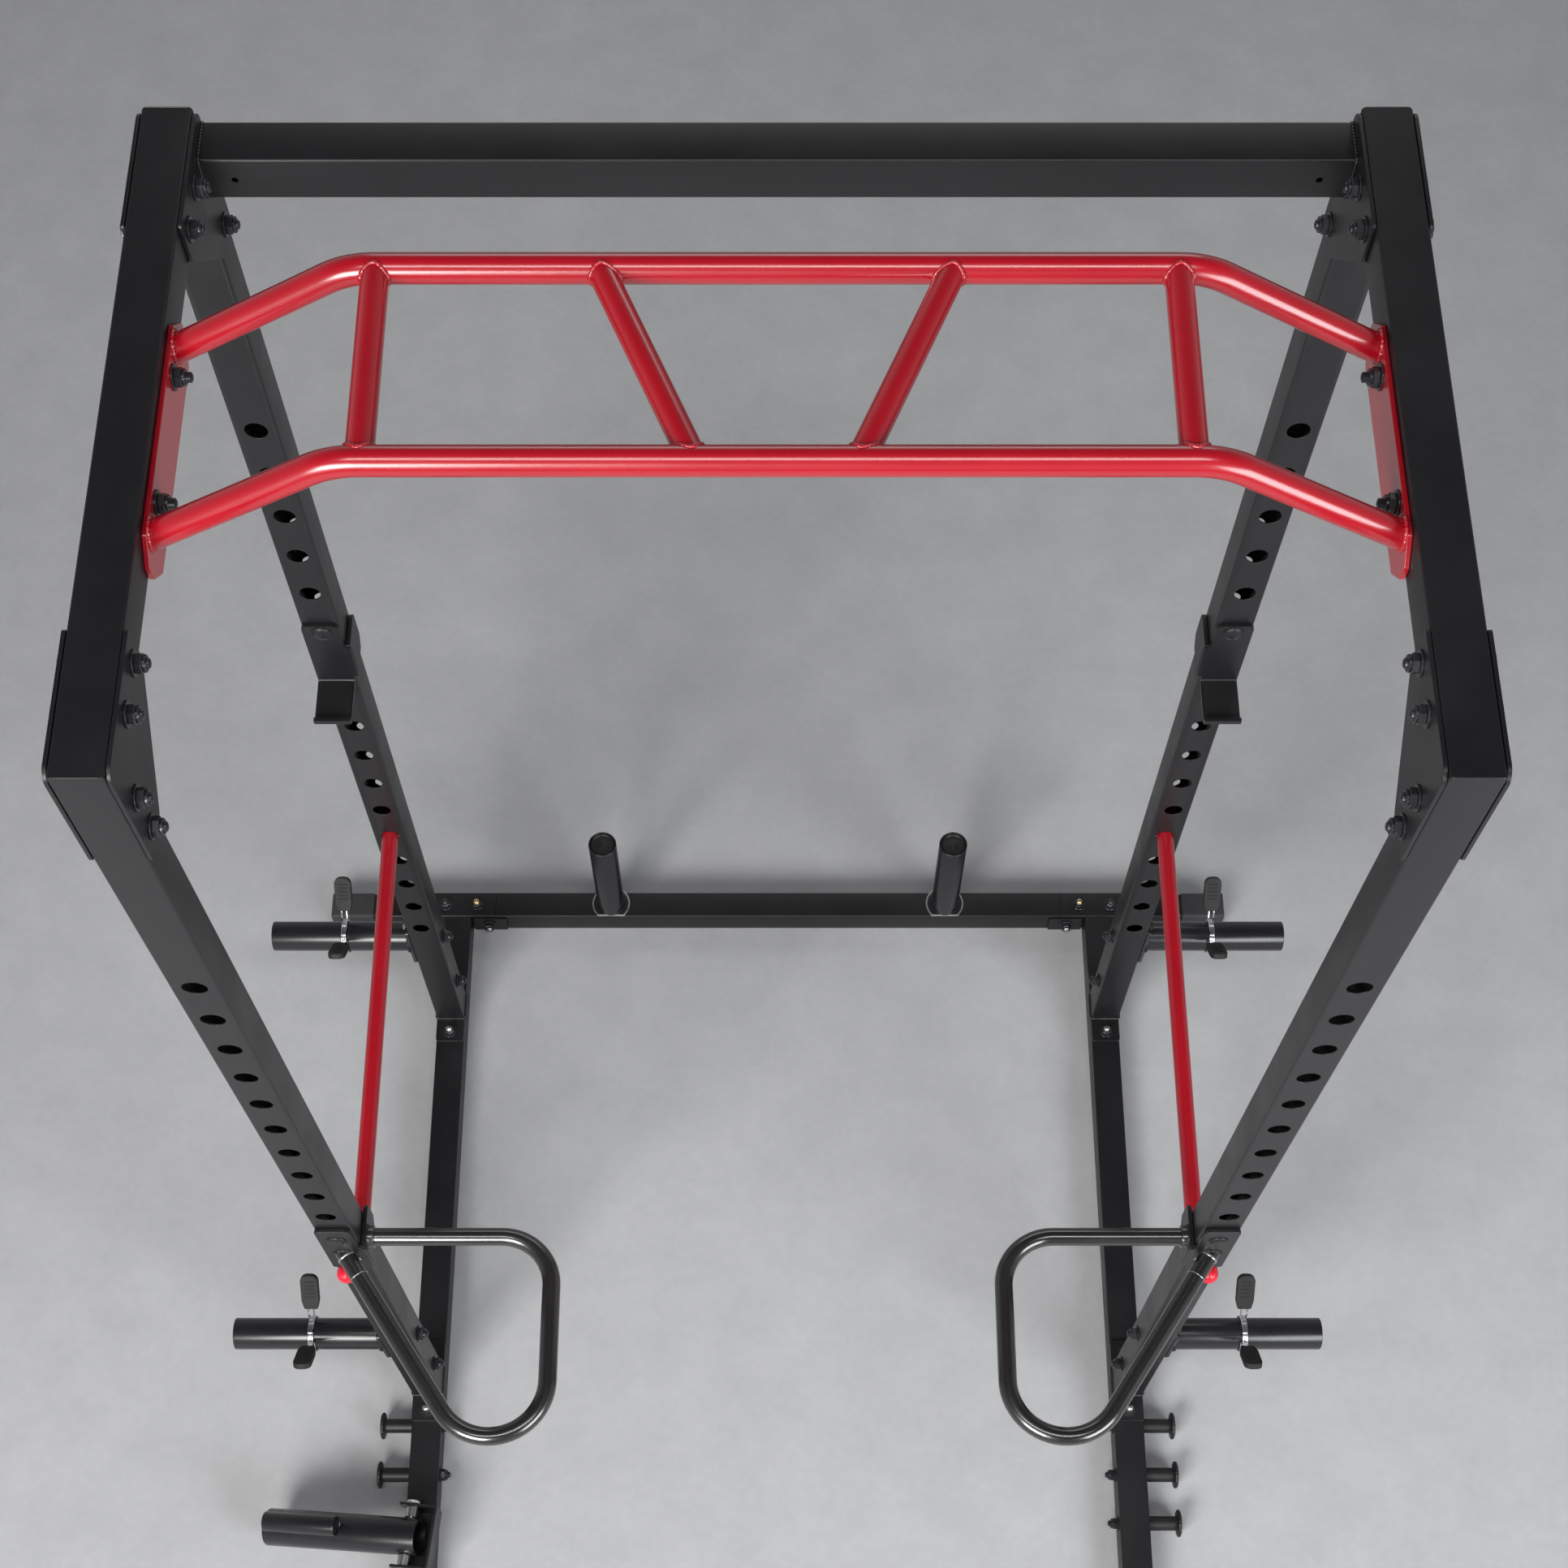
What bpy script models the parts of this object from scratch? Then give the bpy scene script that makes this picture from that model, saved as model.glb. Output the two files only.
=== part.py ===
# Power cage: four bolted uprights, multi-grip pull-up bar, plate storage, band pegs,
# landmine, J-hooks, safety bars and removable dip handles.
# Units are metres, +X to the user's right, +Y to the rear, +Z up; the origin is on the
# floor at the centre of the cage's footprint.
import bpy, bmesh, math
from mathutils import Vector, Matrix

for _o in list(bpy.data.objects):
    bpy.data.objects.remove(_o, do_unlink=True)

# ------------------------------------------------------------------ driving dimensions
TUBE = 0.050            # outside size of every square tube
WALL = 0.002            # wall of every square tube
GAP = 0.0003            # clearance between touching pieces
XC = 0.595              # upright centre line to the middle plane
FY = -0.280             # front face of the front uprights
RY = FY + 0.750         # rear face of the rear uprights
TOP = 2.130             # top of the side beams
BASE_FRONT = -0.680     # front end of the base beams
FLOOR_Y0, FLOOR_Y1 = 0.630, 0.680      # rear floor crossbeam
FLOOR_JOINT = 0.525     # where the crossbeam meets the outriggers
OUT_END = 0.830         # end of an outrigger's rubber foot
HOLE_TOP, HOLE_PITCH, HOLE_N, HOLE_R = 1.705, 0.080, 17, 0.0133
FOOT_T = 0.006          # foot flange under each upright
FOOT_REACH = 0.045      # foot flange in front of and behind the upright
GUS = 0.150             # leg of a gusset plate
GUS_T = 0.004
CROSS_Z0, CROSS_Z1 = 2.062, 2.112      # rear top crossbeam
BAR_R = 0.014           # pull-up bar tube radius
BAR_Z0, BAR_Z1 = 2.100, 2.208          # bar axis at its end plates and in the middle
BAR_BEND = 0.385        # where the bar turns level
BAR_YF, BAR_YR = FY + 0.268, FY + 0.479
PLATE_Y0, PLATE_Y1 = FY + 0.235, FY + 0.515
SLEEVE_R, SLEEVE_RI, SLEEVE_Z, SLEEVE_END = 0.025, 0.022, 0.345, 0.858
FLANGE_T = 0.006
PEG_X, PEG_TOP = 0.310, 0.285          # upright plate pegs on the floor crossbeam
BAND_Y = (FY - 0.046, FY - 0.130, FY - 0.212)
LM_Y = FY - 0.2485       # landmine swivel centre
LM_X = 0.595
LM_PIN_X, LM_PIN_Z = 0.607, 0.095
LM_TILT, LM_YAW, LM_LEN = math.radians(11.0), math.radians(6.0), 0.245
LM_RO, LM_RI = 0.0305, 0.0265
J_Z0, J_Z1, J_PIN = 1.194, 1.321, 1.305
SAFE_Z, SAFE_R = 0.745, 0.0125
DIP_Z, DIP_R, DIP_PIN = 0.850, 0.0125, 0.905
KNOB_Z = 0.8165
COLLAR_X = 0.735

SEG = 16                # sides of large round pieces
SEG_S = 8               # sides of post holes
SEG_B = 10              # sides of bent tubes

# ------------------------------------------------------------------ materials
def material(name, rgb, rough, metal):
    m = bpy.data.materials.new(name)
    m.use_nodes = True
    b = m.node_tree.nodes["Principled BSDF"]
    b.inputs["Base Color"].default_value = (*rgb, 1.0)
    b.inputs["Roughness"].default_value = rough
    b.inputs["Metallic"].default_value = metal
    return m

COAT = dict(frame_black=((0.020, 0.020, 0.023), 0.42, 0.0),
            coat_red=((0.55, 0.010, 0.020), 0.34, 0.0),
            sleeve_grey=((0.045, 0.045, 0.050), 0.33, 0.3),
            handle_black=((0.025, 0.023, 0.022), 0.25, 0.4),
            rubber=((0.012, 0.012, 0.013), 0.80, 0.0),
            plastic_black=((0.018, 0.018, 0.019), 0.55, 0.0),
            plastic_red=((0.60, 0.012, 0.020), 0.38, 0.0),
            spring_steel=((0.62, 0.62, 0.64), 0.22, 1.0),
            bolt_steel=((0.45, 0.45, 0.46), 0.30, 1.0))

# ------------------------------------------------------------------ mesh helpers
def obj_from(bm, name, mat):
    bmesh.ops.recalc_face_normals(bm, faces=bm.faces[:])
    me = bpy.data.meshes.new(name)
    bm.to_mesh(me)
    bm.free()
    me.materials.append(material(name + "_" + mat, *COAT[mat]))
    o = bpy.data.objects.new(name, me)
    bpy.context.scene.collection.objects.link(o)
    return o

def boolean(base, tool, op):
    mod = base.modifiers.new("b", 'BOOLEAN')
    mod.operation = op
    mod.solver = 'EXACT'
    mod.object = tool
    dg = bpy.context.evaluated_depsgraph_get()
    me = bpy.data.meshes.new_from_object(base.evaluated_get(dg))
    base.modifiers.clear()
    old = base.data
    base.data = me
    bpy.data.meshes.remove(old)
    tm = tool.data
    bpy.data.objects.remove(tool, do_unlink=True)
    bpy.data.meshes.remove(tm)

def fuse(base, *tools):
    for t in tools:
        boolean(base, t, 'UNION')
    return base

def cut(base, *tools):
    for t in tools:
        boolean(base, t, 'DIFFERENCE')
    return base

def tmp(bm):
    return obj_from(bm, "tool", "frame_black")

def smooth(o, deg=40.0):
    o.data.shade_smooth()
    o.data.set_sharp_from_angle(angle=math.radians(deg))
    return o

def origin_at(o, p):
    o.data.transform(Matrix.Translation(-Vector(p)))
    o.location = p
    return o

def bm_box(x0, x1, y0, y1, z0, z1):
    bm = bmesh.new()
    bmesh.ops.create_cube(bm, size=1.0)
    for v in bm.verts:
        v.co = Vector(((x0 + x1) / 2 + v.co.x * (x1 - x0),
                       (y0 + y1) / 2 + v.co.y * (y1 - y0),
                       (z0 + z1) / 2 + v.co.z * (z1 - z0)))
    return bm

def bm_prism(pts, axis, lo, hi):
    """Closed prism of a 2D outline: axis X takes (y, z) points, Y takes (x, z), Z takes (x, y)."""
    def at(p, t):
        return {'X': (t, p[0], p[1]), 'Y': (p[0], t, p[1]), 'Z': (p[0], p[1], t)}[axis]
    bm = bmesh.new()
    a = [bm.verts.new(at(p, lo)) for p in pts]
    b = [bm.verts.new(at(p, hi)) for p in pts]
    bm.faces.new(a)
    bm.faces.new(b[::-1])
    n = len(pts)
    for i in range(n):
        bm.faces.new((a[i], b[i], b[(i + 1) % n], a[(i + 1) % n]))
    return bm

def frame_of(d):
    d = d.normalized()
    h = Vector((0, 0, 1)) if abs(d.z) < 0.9 else Vector((1, 0, 0))
    u = h.cross(d).normalized()
    return u, d.cross(u)

def bm_rod(p0, p1, r, n=SEG, r1=None, turn=0.5):
    """Closed cylinder or cone between two points."""
    p0, p1 = Vector(p0), Vector(p1)
    u, v = frame_of(p1 - p0)
    r1 = r if r1 is None else r1
    bm = bmesh.new()
    rings = []
    for p, q in ((p0, r), (p1, r1)):
        rings.append([bm.verts.new(p + q * (math.cos(2 * math.pi * (i + turn) / n) * u +
                                            math.sin(2 * math.pi * (i + turn) / n) * v)) for i in range(n)])
    for i in range(n):
        bm.faces.new((rings[0][i], rings[0][(i + 1) % n], rings[1][(i + 1) % n], rings[1][i]))
    bm.faces.new(rings[0][::-1])
    bm.faces.new(rings[1])
    return bm

def bm_turned(p0, axis, prof, n=SEG, turn=0.5):
    """Turned solid: prof is a closed list of (distance along axis, radius)."""
    p0, d = Vector(p0), Vector(axis).normalized()
    u, v = frame_of(d)
    bm = bmesh.new()
    rings = []
    for t, r in prof:
        if r < 1e-6:
            rings.append([bm.verts.new(p0 + d * t)])
        else:
            rings.append([bm.verts.new(p0 + d * t + r * (math.cos(2 * math.pi * (i + turn) / n) * u +
                                                          math.sin(2 * math.pi * (i + turn) / n) * v))
                          for i in range(n)])
    m = len(rings)
    for k in range(m):
        a, b = rings[k], rings[(k + 1) % m]
        if len(a) == 1 and len(b) == 1:
            continue
        for i in range(n):
            j = (i + 1) % n
            if len(a) == 1:
                bm.faces.new((a[0], b[j], b[i]))
            elif len(b) == 1:
                bm.faces.new((a[i], a[j], b[0]))
            else:
                bm.faces.new((a[i], a[j], b[j], b[i]))
    return bm

def bm_tube(axis, lo, hi, c, size=TUBE, wall=WALL, lo_cut=None, hi_cut=None):
    """Open square tube. c is the centre on the two other axes; lo_cut and hi_cut shift an
    end for a mitre, as a function of the two cross coordinates."""
    bm = bmesh.new()
    loops = []
    for h in (size / 2, size / 2 - wall):
        for t, f in ((lo, lo_cut), (hi, hi_cut)):
            ring = []
            for sa, sb in ((-1, -1), (1, -1), (1, 1), (-1, 1)):
                a, b = c[0] + sa * h, c[1] + sb * h
                tt = t + (f(a, b) if f else 0.0)
                ring.append(bm.verts.new({'X': (tt, a, b), 'Y': (a, tt, b), 'Z': (a, b, tt)}[axis]))
            loops.append(ring)
    ol, oh, il, ih = loops
    for i in range(4):
        j = (i + 1) % 4
        bm.faces.new((ol[i], ol[j], oh[j], oh[i]))
        bm.faces.new((il[j], il[i], ih[i], ih[j]))
        bm.faces.new((ol[j], ol[i], il[i], il[j]))
        bm.faces.new((oh[i], oh[j], ih[j], ih[i]))
    return bm

def bend_path(pts, radii, steps=4):
    """Polyline through pts with each inner corner rounded by an arc of the given radius."""
    pts = [Vector(p) for p in pts]
    out = [pts[0]]
    for k in range(1, len(pts) - 1):
        a, b, c = pts[k - 1], pts[k], pts[k + 1]
        u, v = (a - b).normalized(), (c - b).normalized()
        ang = u.angle(v)
        r = radii[k - 1]
        d = r / math.tan(ang / 2)
        centre = b + (u + v).normalized() * (r / math.sin(ang / 2))
        s, e = b + u * d - centre, b + v * d - centre
        tot = s.angle(e)
        for i in range(steps + 1):
            w = i / steps
            out.append(centre + (s * math.sin((1 - w) * tot) + e * math.sin(w * tot)) / math.sin(tot))
    out.append(pts[-1])
    return out

def bm_bent(path, r, n=SEG_B, up=(0, 0, 1), ends=(None, None)):
    """Solid round tube along a path that lies in one plane; up is that plane's normal or any
    direction never parallel to the path. ends are the normals of the planes that trim it."""
    bm = bmesh.new()
    rings = []
    m = len(path)
    up = Vector(up)
    for k, p in enumerate(path):
        if k == 0:
            t = path[1] - path[0]
        elif k == m - 1:
            t = path[-1] - path[-2]
        else:
            t = (path[k] - path[k - 1]).normalized() + (path[k + 1] - path[k]).normalized()
        t.normalize()
        s = up.cross(t).normalized()
        w = t.cross(s)
        ring = [p + r * (math.cos(2 * math.pi * (i + 0.5) / n) * s +
                         math.sin(2 * math.pi * (i + 0.5) / n) * w) for i in range(n)]
        nrm = ends[0] if k == 0 else ends[1] if k == m - 1 else None
        if nrm is not None:
            nrm = Vector(nrm)
            ring = [q + t * ((p - q).dot(nrm) / t.dot(nrm)) for q in ring]
        rings.append([bm.verts.new(q) for q in ring])
    for k in range(m - 1):
        for i in range(n):
            j = (i + 1) % n
            bm.faces.new((rings[k][i], rings[k][j], rings[k + 1][j], rings[k + 1][i]))
    bm.faces.new(rings[0][::-1])
    bm.faces.new(rings[-1])
    return bm

def hex_pts(cx, cy, r):
    return [(cx + r * math.cos(math.pi / 3 * i), cy + r * math.sin(math.pi / 3 * i)) for i in range(6)]

SIDES = (("left", -1), ("right", 1))

# ------------------------------------------------------------------ floor frame
for side, s in SIDES:
    o = obj_from(bm_tube('Y', BASE_FRONT + 0.004 + GAP, FLOOR_Y0 - GAP, (s * XC, TUBE / 2)),
                 "base_beam_" + side, "frame_black")
    o = obj_from(bm_box(s * XC - 0.025, s * XC + 0.025, BASE_FRONT, BASE_FRONT + 0.004, 0.0, 0.05),
                 "base_cap_" + side, "plastic_black")
    lo, hi = sorted((s * (FLOOR_JOINT + GAP), s * (OUT_END - 0.088)))
    obj_from(bm_tube('X', lo, hi, ((FLOOR_Y0 + FLOOR_Y1) / 2, TUBE / 2)), "rear_outrigger_" + side, "frame_black")
    a, b = sorted((s * (OUT_END - 0.078), s * OUT_END))
    foot = obj_from(bm_box(a, b, FLOOR_Y0, FLOOR_Y1, 0.0, 0.05), "outrigger_foot_" + side, "rubber")
    a, b = sorted((s * (OUT_END - 0.088 + GAP), s * (OUT_END - 0.077)))
    fuse(foot, tmp(bm_box(a, b, FLOOR_Y0 + 0.002, FLOOR_Y1 - 0.002, 0.002, 0.048)))
    bolt = obj_from(bm_prism(hex_pts(s * 0.560, 0.655, 0.0098), 'Z', TUBE + GAP, TUBE + 0.010),
                    "floor_joint_bolt_" + side, "bolt_steel")
    fuse(bolt, tmp(bm_turned((s * 0.560, 0.655, TUBE + 0.009), (0, 0, 1),
                             [(0, 0), (0, 0.006), (0.006, 0.006), (0.009, 0.0035), (0.010, 0)], 8)))
    # splice plate with its nut on the front face of the joint
    a, b = sorted((s * (FLOOR_JOINT - 0.020), s * (XC - TUBE / 2 - 0.002)))
    plate = obj_from(bm_box(a, b, FLOOR_Y0 - GAP - 0.004, FLOOR_Y0 - GAP, 0.004, 0.046), "floor_joint_plate_" + side, "frame_black")
    fuse(plate, tmp(bm_prism(hex_pts(s * 0.538, 0.026, 0.0098), 'Y', FLOOR_Y0 - 0.016, FLOOR_Y0 - GAP - 0.003)))
obj_from(bm_tube('X', -FLOOR_JOINT, FLOOR_JOINT, ((FLOOR_Y0 + FLOOR_Y1) / 2, TUBE / 2)),
         "rear_floor_crossbeam", "frame_black")

# ------------------------------------------------------------------ uprights
def post(name, s, y0, rear):
    """Holed upright with its welded foot flange; its top is mitred to the side beam."""
    yc = y0 + TUBE / 2
    sg = -1.0 if rear else 1.0
    mitre = lambda a, b: -0.5 * TUBE - sg * (b - yc) - GAP * 0.75
    o = obj_from(bm_tube('Z', TUBE + GAP + FOOT_T - 0.001, TOP, (s * XC, yc), hi_cut=mitre), name, "frame_black")
    foot = tmp(bm_box(s * XC - 0.025, s * XC + 0.025, y0 - FOOT_REACH, y0 + TUBE + FOOT_REACH,
                      TUBE + GAP, TUBE + GAP + FOOT_T))
    fuse(o, foot)
    for yy in (y0 - 0.026, y0 + TUBE + 0.026):
        z = TUBE + GAP + FOOT_T
        fuse(o, tmp(bm_prism(hex_pts(s * XC, yy, 0.0098), 'Z', z - 0.001, z + 0.009)),
             tmp(bm_rod((s * XC, yy, z + 0.008), (s * XC, yy, z + 0.019), 0.0058, 8)))
    r = HOLE_R / math.cos(math.pi / SEG_S)
    bm = bmesh.new()
    for k in range(HOLE_N):
        z = HOLE_TOP - k * HOLE_PITCH
        b2 = bm_rod((s * XC, y0 - 0.01, z), (s * XC, y0 + TUBE + 0.01, z), r, SEG_S)
        me = bpy.data.meshes.new("h")
        b2.to_mesh(me)
        b2.free()
        bm.from_mesh(me)
        bpy.data.meshes.remove(me)
    cut(o, tmp(bm))
    return o

for side, s in SIDES:
    post("post_front_" + side, s, FY, False)
    post("post_rear_" + side, s, RY - TUBE, True)

# ------------------------------------------------------------------ top frame
for side, s in SIDES:
    zc = TOP - TUBE / 2
    obj_from(bm_tube('Y', FY, RY, (s * XC, zc),
                     lo_cut=lambda a, b: (TOP - b) + GAP * 0.75,
                     hi_cut=lambda a, b: -(TOP - b) - GAP * 0.75), "top_beam_" + side, "frame_black")
INNER = XC - TUBE / 2
cx = INNER - GAP - GUS_T - GAP
obj_from(bm_tube('X', -cx, cx, (RY - TUBE / 2, (CROSS_Z0 + CROSS_Z1) / 2)), "rear_top_crossbeam", "frame_black")

def gusset_outline(rear):
    e = 0.015
    pts = [(e, 0.0), (GUS, 0.0), (GUS, -0.048), (TUBE, -GUS), (0.0, -GUS), (0.0, -e),
           (e * 0.3, -e * 0.3)]
    out = [(FY + a, TOP + b) if not rear else (RY - a, TOP + b) for a, b in pts]
    return out

for side, s in SIDES:
    for where, rear in (("front", False), ("rear", True)):
        pts = gusset_outline(rear)
        e0 = RY if rear else FY
        sg = -1 if rear else 1
        holes = [(e0 + sg * 0.078, TOP - 0.025), (e0 + sg * 0.130, TOP - 0.025),
                 (e0 + sg * 0.025, TOP - 0.078), (e0 + sg * 0.025, TOP - 0.130)]
        # inner plate carries the nuts, outer plate carries the bolt heads
        a, b = sorted((s * (INNER - GAP - GUS_T), s * (INNER - GAP)))
        inner = obj_from(bm_prism(pts, 'X', a, b), "gusset_inner_%s_%s" % (where, side), "frame_black")
        for k, (hy, hz) in enumerate(holes):
            if rear and k == 2:
                continue
            a, b = sorted((s * (INNER - GAP - GUS_T + 0.001), s * (INNER - GAP - GUS_T - 0.016)))
            fuse(inner, tmp(bm_prism(hex_pts(hy, hz, 0.0098), 'X', a, b)))
        outer_x = XC + TUBE / 2
        a, b = sorted((s * (outer_x + GAP), s * (outer_x + GAP + GUS_T)))
        outer = obj_from(bm_prism(pts, 'X', a, b), "gusset_outer_%s_%s" % (where, side), "frame_black")
        for hy, hz in holes:
            a, b = sorted((s * (outer_x + GAP + GUS_T - 0.001), s * (outer_x + GAP + GUS_T + 0.007)))
            fuse(outer, tmp(bm_prism(hex_pts(hy, hz, 0.0098), 'X', a, b)))

# ------------------------------------------------------------------ pull-up bar
bar = None
for y in (BAR_YR, BAR_YF):
    path = bend_path([(-INNER + 0.003, y, BAR_Z0), (-BAR_BEND, y, BAR_Z1), (BAR_BEND, y, BAR_Z1),
                      (INNER - 0.003, y, BAR_Z0)], (0.09, 0.09), 3)
    bm = bm_bent(path, BAR_R, SEG_B, up=(0, 1, 0), ends=((1, 0, 0), (1, 0, 0)))
    if bar is None:
        bar = obj_from(bm, "pull_up_bar", "coat_red")
    else:
        second = tmp(bm)
rungs = [((-0.360, BAR_YR), (-0.360, BAR_YF)), ((-0.159, BAR_YR), (-0.0715, BAR_YF)),
         ((0.159, BAR_YR), (0.0715, BAR_YF)), ((0.360, BAR_YR), (0.360, BAR_YF))]
for (x0, y0), (x1, y1) in rungs:
    fuse(bar, tmp(bm_rod((x0, y0, BAR_Z1), (x1, y1, BAR_Z1), 0.0132, SEG_B)))
fuse(bar, second)
for s in (-1, 1):
    c = 0.022
    pts = [(PLATE_Y0, 2.058 + c), (PLATE_Y0 + c, 2.058), (PLATE_Y1 - c, 2.058), (PLATE_Y1, 2.058 + c),
           (PLATE_Y1, 2.118 - c), (PLATE_Y1 - c, 2.118), (PLATE_Y0 + c, 2.118), (PLATE_Y0, 2.118 - c)]
    a, b = sorted((s * (INNER - GAP), s * (INNER - GAP - 0.005)))
    fuse(bar, tmp(bm_prism(pts, 'X', a, b)))
    for y in (FY + 0.304, FY + 0.447):
        a, b = sorted((s * (INNER - GAP - 0.004), s * (INNER - GAP - 0.024)))
        fuse(bar, tmp(bm_prism(hex_pts(y, BAR_Z0, 0.0098), 'X', a, b)))
smooth(bar)

# ------------------------------------------------------------------ plate storage
XO = XC + TUBE / 2
for side, s in SIDES:
    for where, y0 in (("front", FY), ("rear", RY - TUBE)):
        yc = y0 + TUBE / 2
        o = obj_from(bm_turned((s * (XO + GAP + FLANGE_T - 0.001), yc, SLEEVE_Z), (s, 0, 0),
                               [(0, 0), (0, SLEEVE_R), (SLEEVE_END - XO - GAP - FLANGE_T + 0.001, SLEEVE_R),
                                (SLEEVE_END - XO - GAP - FLANGE_T + 0.001, SLEEVE_RI), (0.006, SLEEVE_RI), (0.006, 0)]),
                     "plate_sleeve_%s_%s" % (where, side), "sleeve_grey")
        a, b = sorted((s * (XO + GAP), s * (XO + GAP + FLANGE_T)))
        fuse(o, tmp(bm_box(a, b, yc - 0.025, yc + 0.025, SLEEVE_Z - 0.055, SLEEVE_Z + 0.055)))
        smooth(o)
    o = obj_from(bm_turned((s * PEG_X, (FLOOR_Y0 + FLOOR_Y1) / 2, TUBE + GAP), (0, 0, 1),
                           [(0.0002, 0.022), (0.0002, 0.0248), (PEG_TOP - TUBE - 0.004, 0.0248), (PEG_TOP - TUBE - GAP, 0.022),
                            (PEG_TOP - TUBE - GAP, 0), (PEG_TOP - TUBE - 0.006, 0), (PEG_TOP - TUBE - 0.006, 0.022)]),
                 "plate_peg_" + side, "sleeve_grey")
    flange = tmp(bm_box(s * PEG_X - 0.035, s * PEG_X + 0.035, FLOOR_Y0 + 0.0003, FLOOR_Y1 - 0.0003,
                        TUBE + GAP, TUBE + GAP + 0.005))
    cut(flange, tmp(bm_rod((s * PEG_X, (FLOOR_Y0 + FLOOR_Y1) / 2, TUBE - 0.01),
                           (s * PEG_X, (FLOOR_Y0 + FLOOR_Y1) / 2, TUBE + 0.02), 0.0235)))
    fuse(o, flange)
    smooth(o)

def band_peg(name, s, y):
    o = obj_from(bm_turned((s * (XO + GAP), y, 0.025), (s, 0, 0),
                           [(0, 0), (0, 0.0120), (0.047, 0.0120), (0.048, 0.0205), (0.0495, 0.0225),
                            (0.0525, 0.0225), (0.054, 0.0205), (0.054, 0)], 12), name, "plastic_black")
    return smooth(o)

band_peg("band_peg_left_front", -1, BAND_Y[1])
band_peg("band_peg_left_rear", -1, BAND_Y[0])
band_peg("band_peg_right_rear", 1, BAND_Y[0])
band_peg("band_peg_right_middle", 1, BAND_Y[1])
band_peg("band_peg_right_front", 1, BAND_Y[2])

# ------------------------------------------------------------------ landmine
YAW = Matrix.Translation((-LM_X, LM_Y, 0)) @ Matrix.Rotation(-LM_YAW, 4, 'Z') @ Matrix.Translation((LM_X, -LM_Y, 0))
Z0 = TUBE + 0.0013
yoke = obj_from(bm_box(-0.623, -0.565, LM_Y - 0.053, LM_Y + 0.053, Z0, Z0 + 0.004), "landmine_yoke", "frame_black")
fuse(yoke, tmp(bm_box(-0.569, -0.565, LM_Y - 0.053, LM_Y + 0.053, Z0, 0.108)))
for sg in (-1, 1):
    a, b = sorted((LM_Y + sg * 0.049, LM_Y + sg * 0.053))
    fuse(yoke, tmp(bm_prism([(-0.565, Z0), (-0.565, 0.108), (-0.625, 0.108), (-0.6285, 0.102), (-0.6170, Z0)], 'Y', a, b)))
cut(yoke, tmp(bm_rod((-LM_PIN_X, LM_Y - 0.08, LM_PIN_Z), (-LM_PIN_X, LM_Y + 0.08, LM_PIN_Z), 0.0072, 8)),
    tmp(bm_rod((-LM_X, LM_Y, 0.04), (-LM_X, LM_Y, 0.07), 0.0072, 8)))
yoke.data.transform(YAW)
origin_at(yoke, (-LM_X, LM_Y, TUBE))
d = Vector((-math.cos(LM_TILT), 0, -math.sin(LM_TILT)))
n = Vector((-math.sin(LM_TILT), 0, math.cos(LM_TILT)))
pin = Vector((-LM_PIN_X, LM_Y, LM_PIN_Z))
lm = obj_from(bm_turned(pin - d * 0.020, d, [(0, LM_RI), (0, LM_RO), (0.020 + LM_LEN, LM_RO), (0.020 + LM_LEN, LM_RI)]),
              "landmine_sleeve", "sleeve_grey")
top_tube = pin + n * (LM_RO + 0.0150) + d * (LM_LEN - 0.012 - 0.125)
fuse(lm, tmp(bm_rod(top_tube, top_tube + d * 0.125, 0.0165, 12)))
cut(lm, tmp(bm_rod((-LM_PIN_X, LM_Y - 0.08, LM_PIN_Z), (-LM_PIN_X, LM_Y + 0.08, LM_PIN_Z), 0.0072, 8)))
lm.data.transform(YAW)
smooth(lm)
origin_at(lm, YAW @ pin)
pinob = obj_from(bm_turned(pin - Vector((0, 0.0600, 0)), (0, 1, 0),
                           [(0, 0), (0, 0.0110), (0.0067, 0.0110), (0.0067, 0.0060), (0.1133, 0.0060),
                            (0.1133, 0.0110), (0.120, 0.0110), (0.120, 0)], 10), "landmine_pin", "bolt_steel")
pinob.data.transform(YAW)
smooth(pinob)
origin_at(pinob, YAW @ pin)
o = obj_from(bm_turned((-LM_X, LM_Y, TUBE + GAP), (0, 0, 1),
                       [(0, 0), (0, 0.0060), (0.0053, 0.0060), (0.0053, 0.0100), (0.0075, 0.0100), (0.0075, 0)], 8),
             "landmine_swivel_bolt", "bolt_steel")

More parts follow.
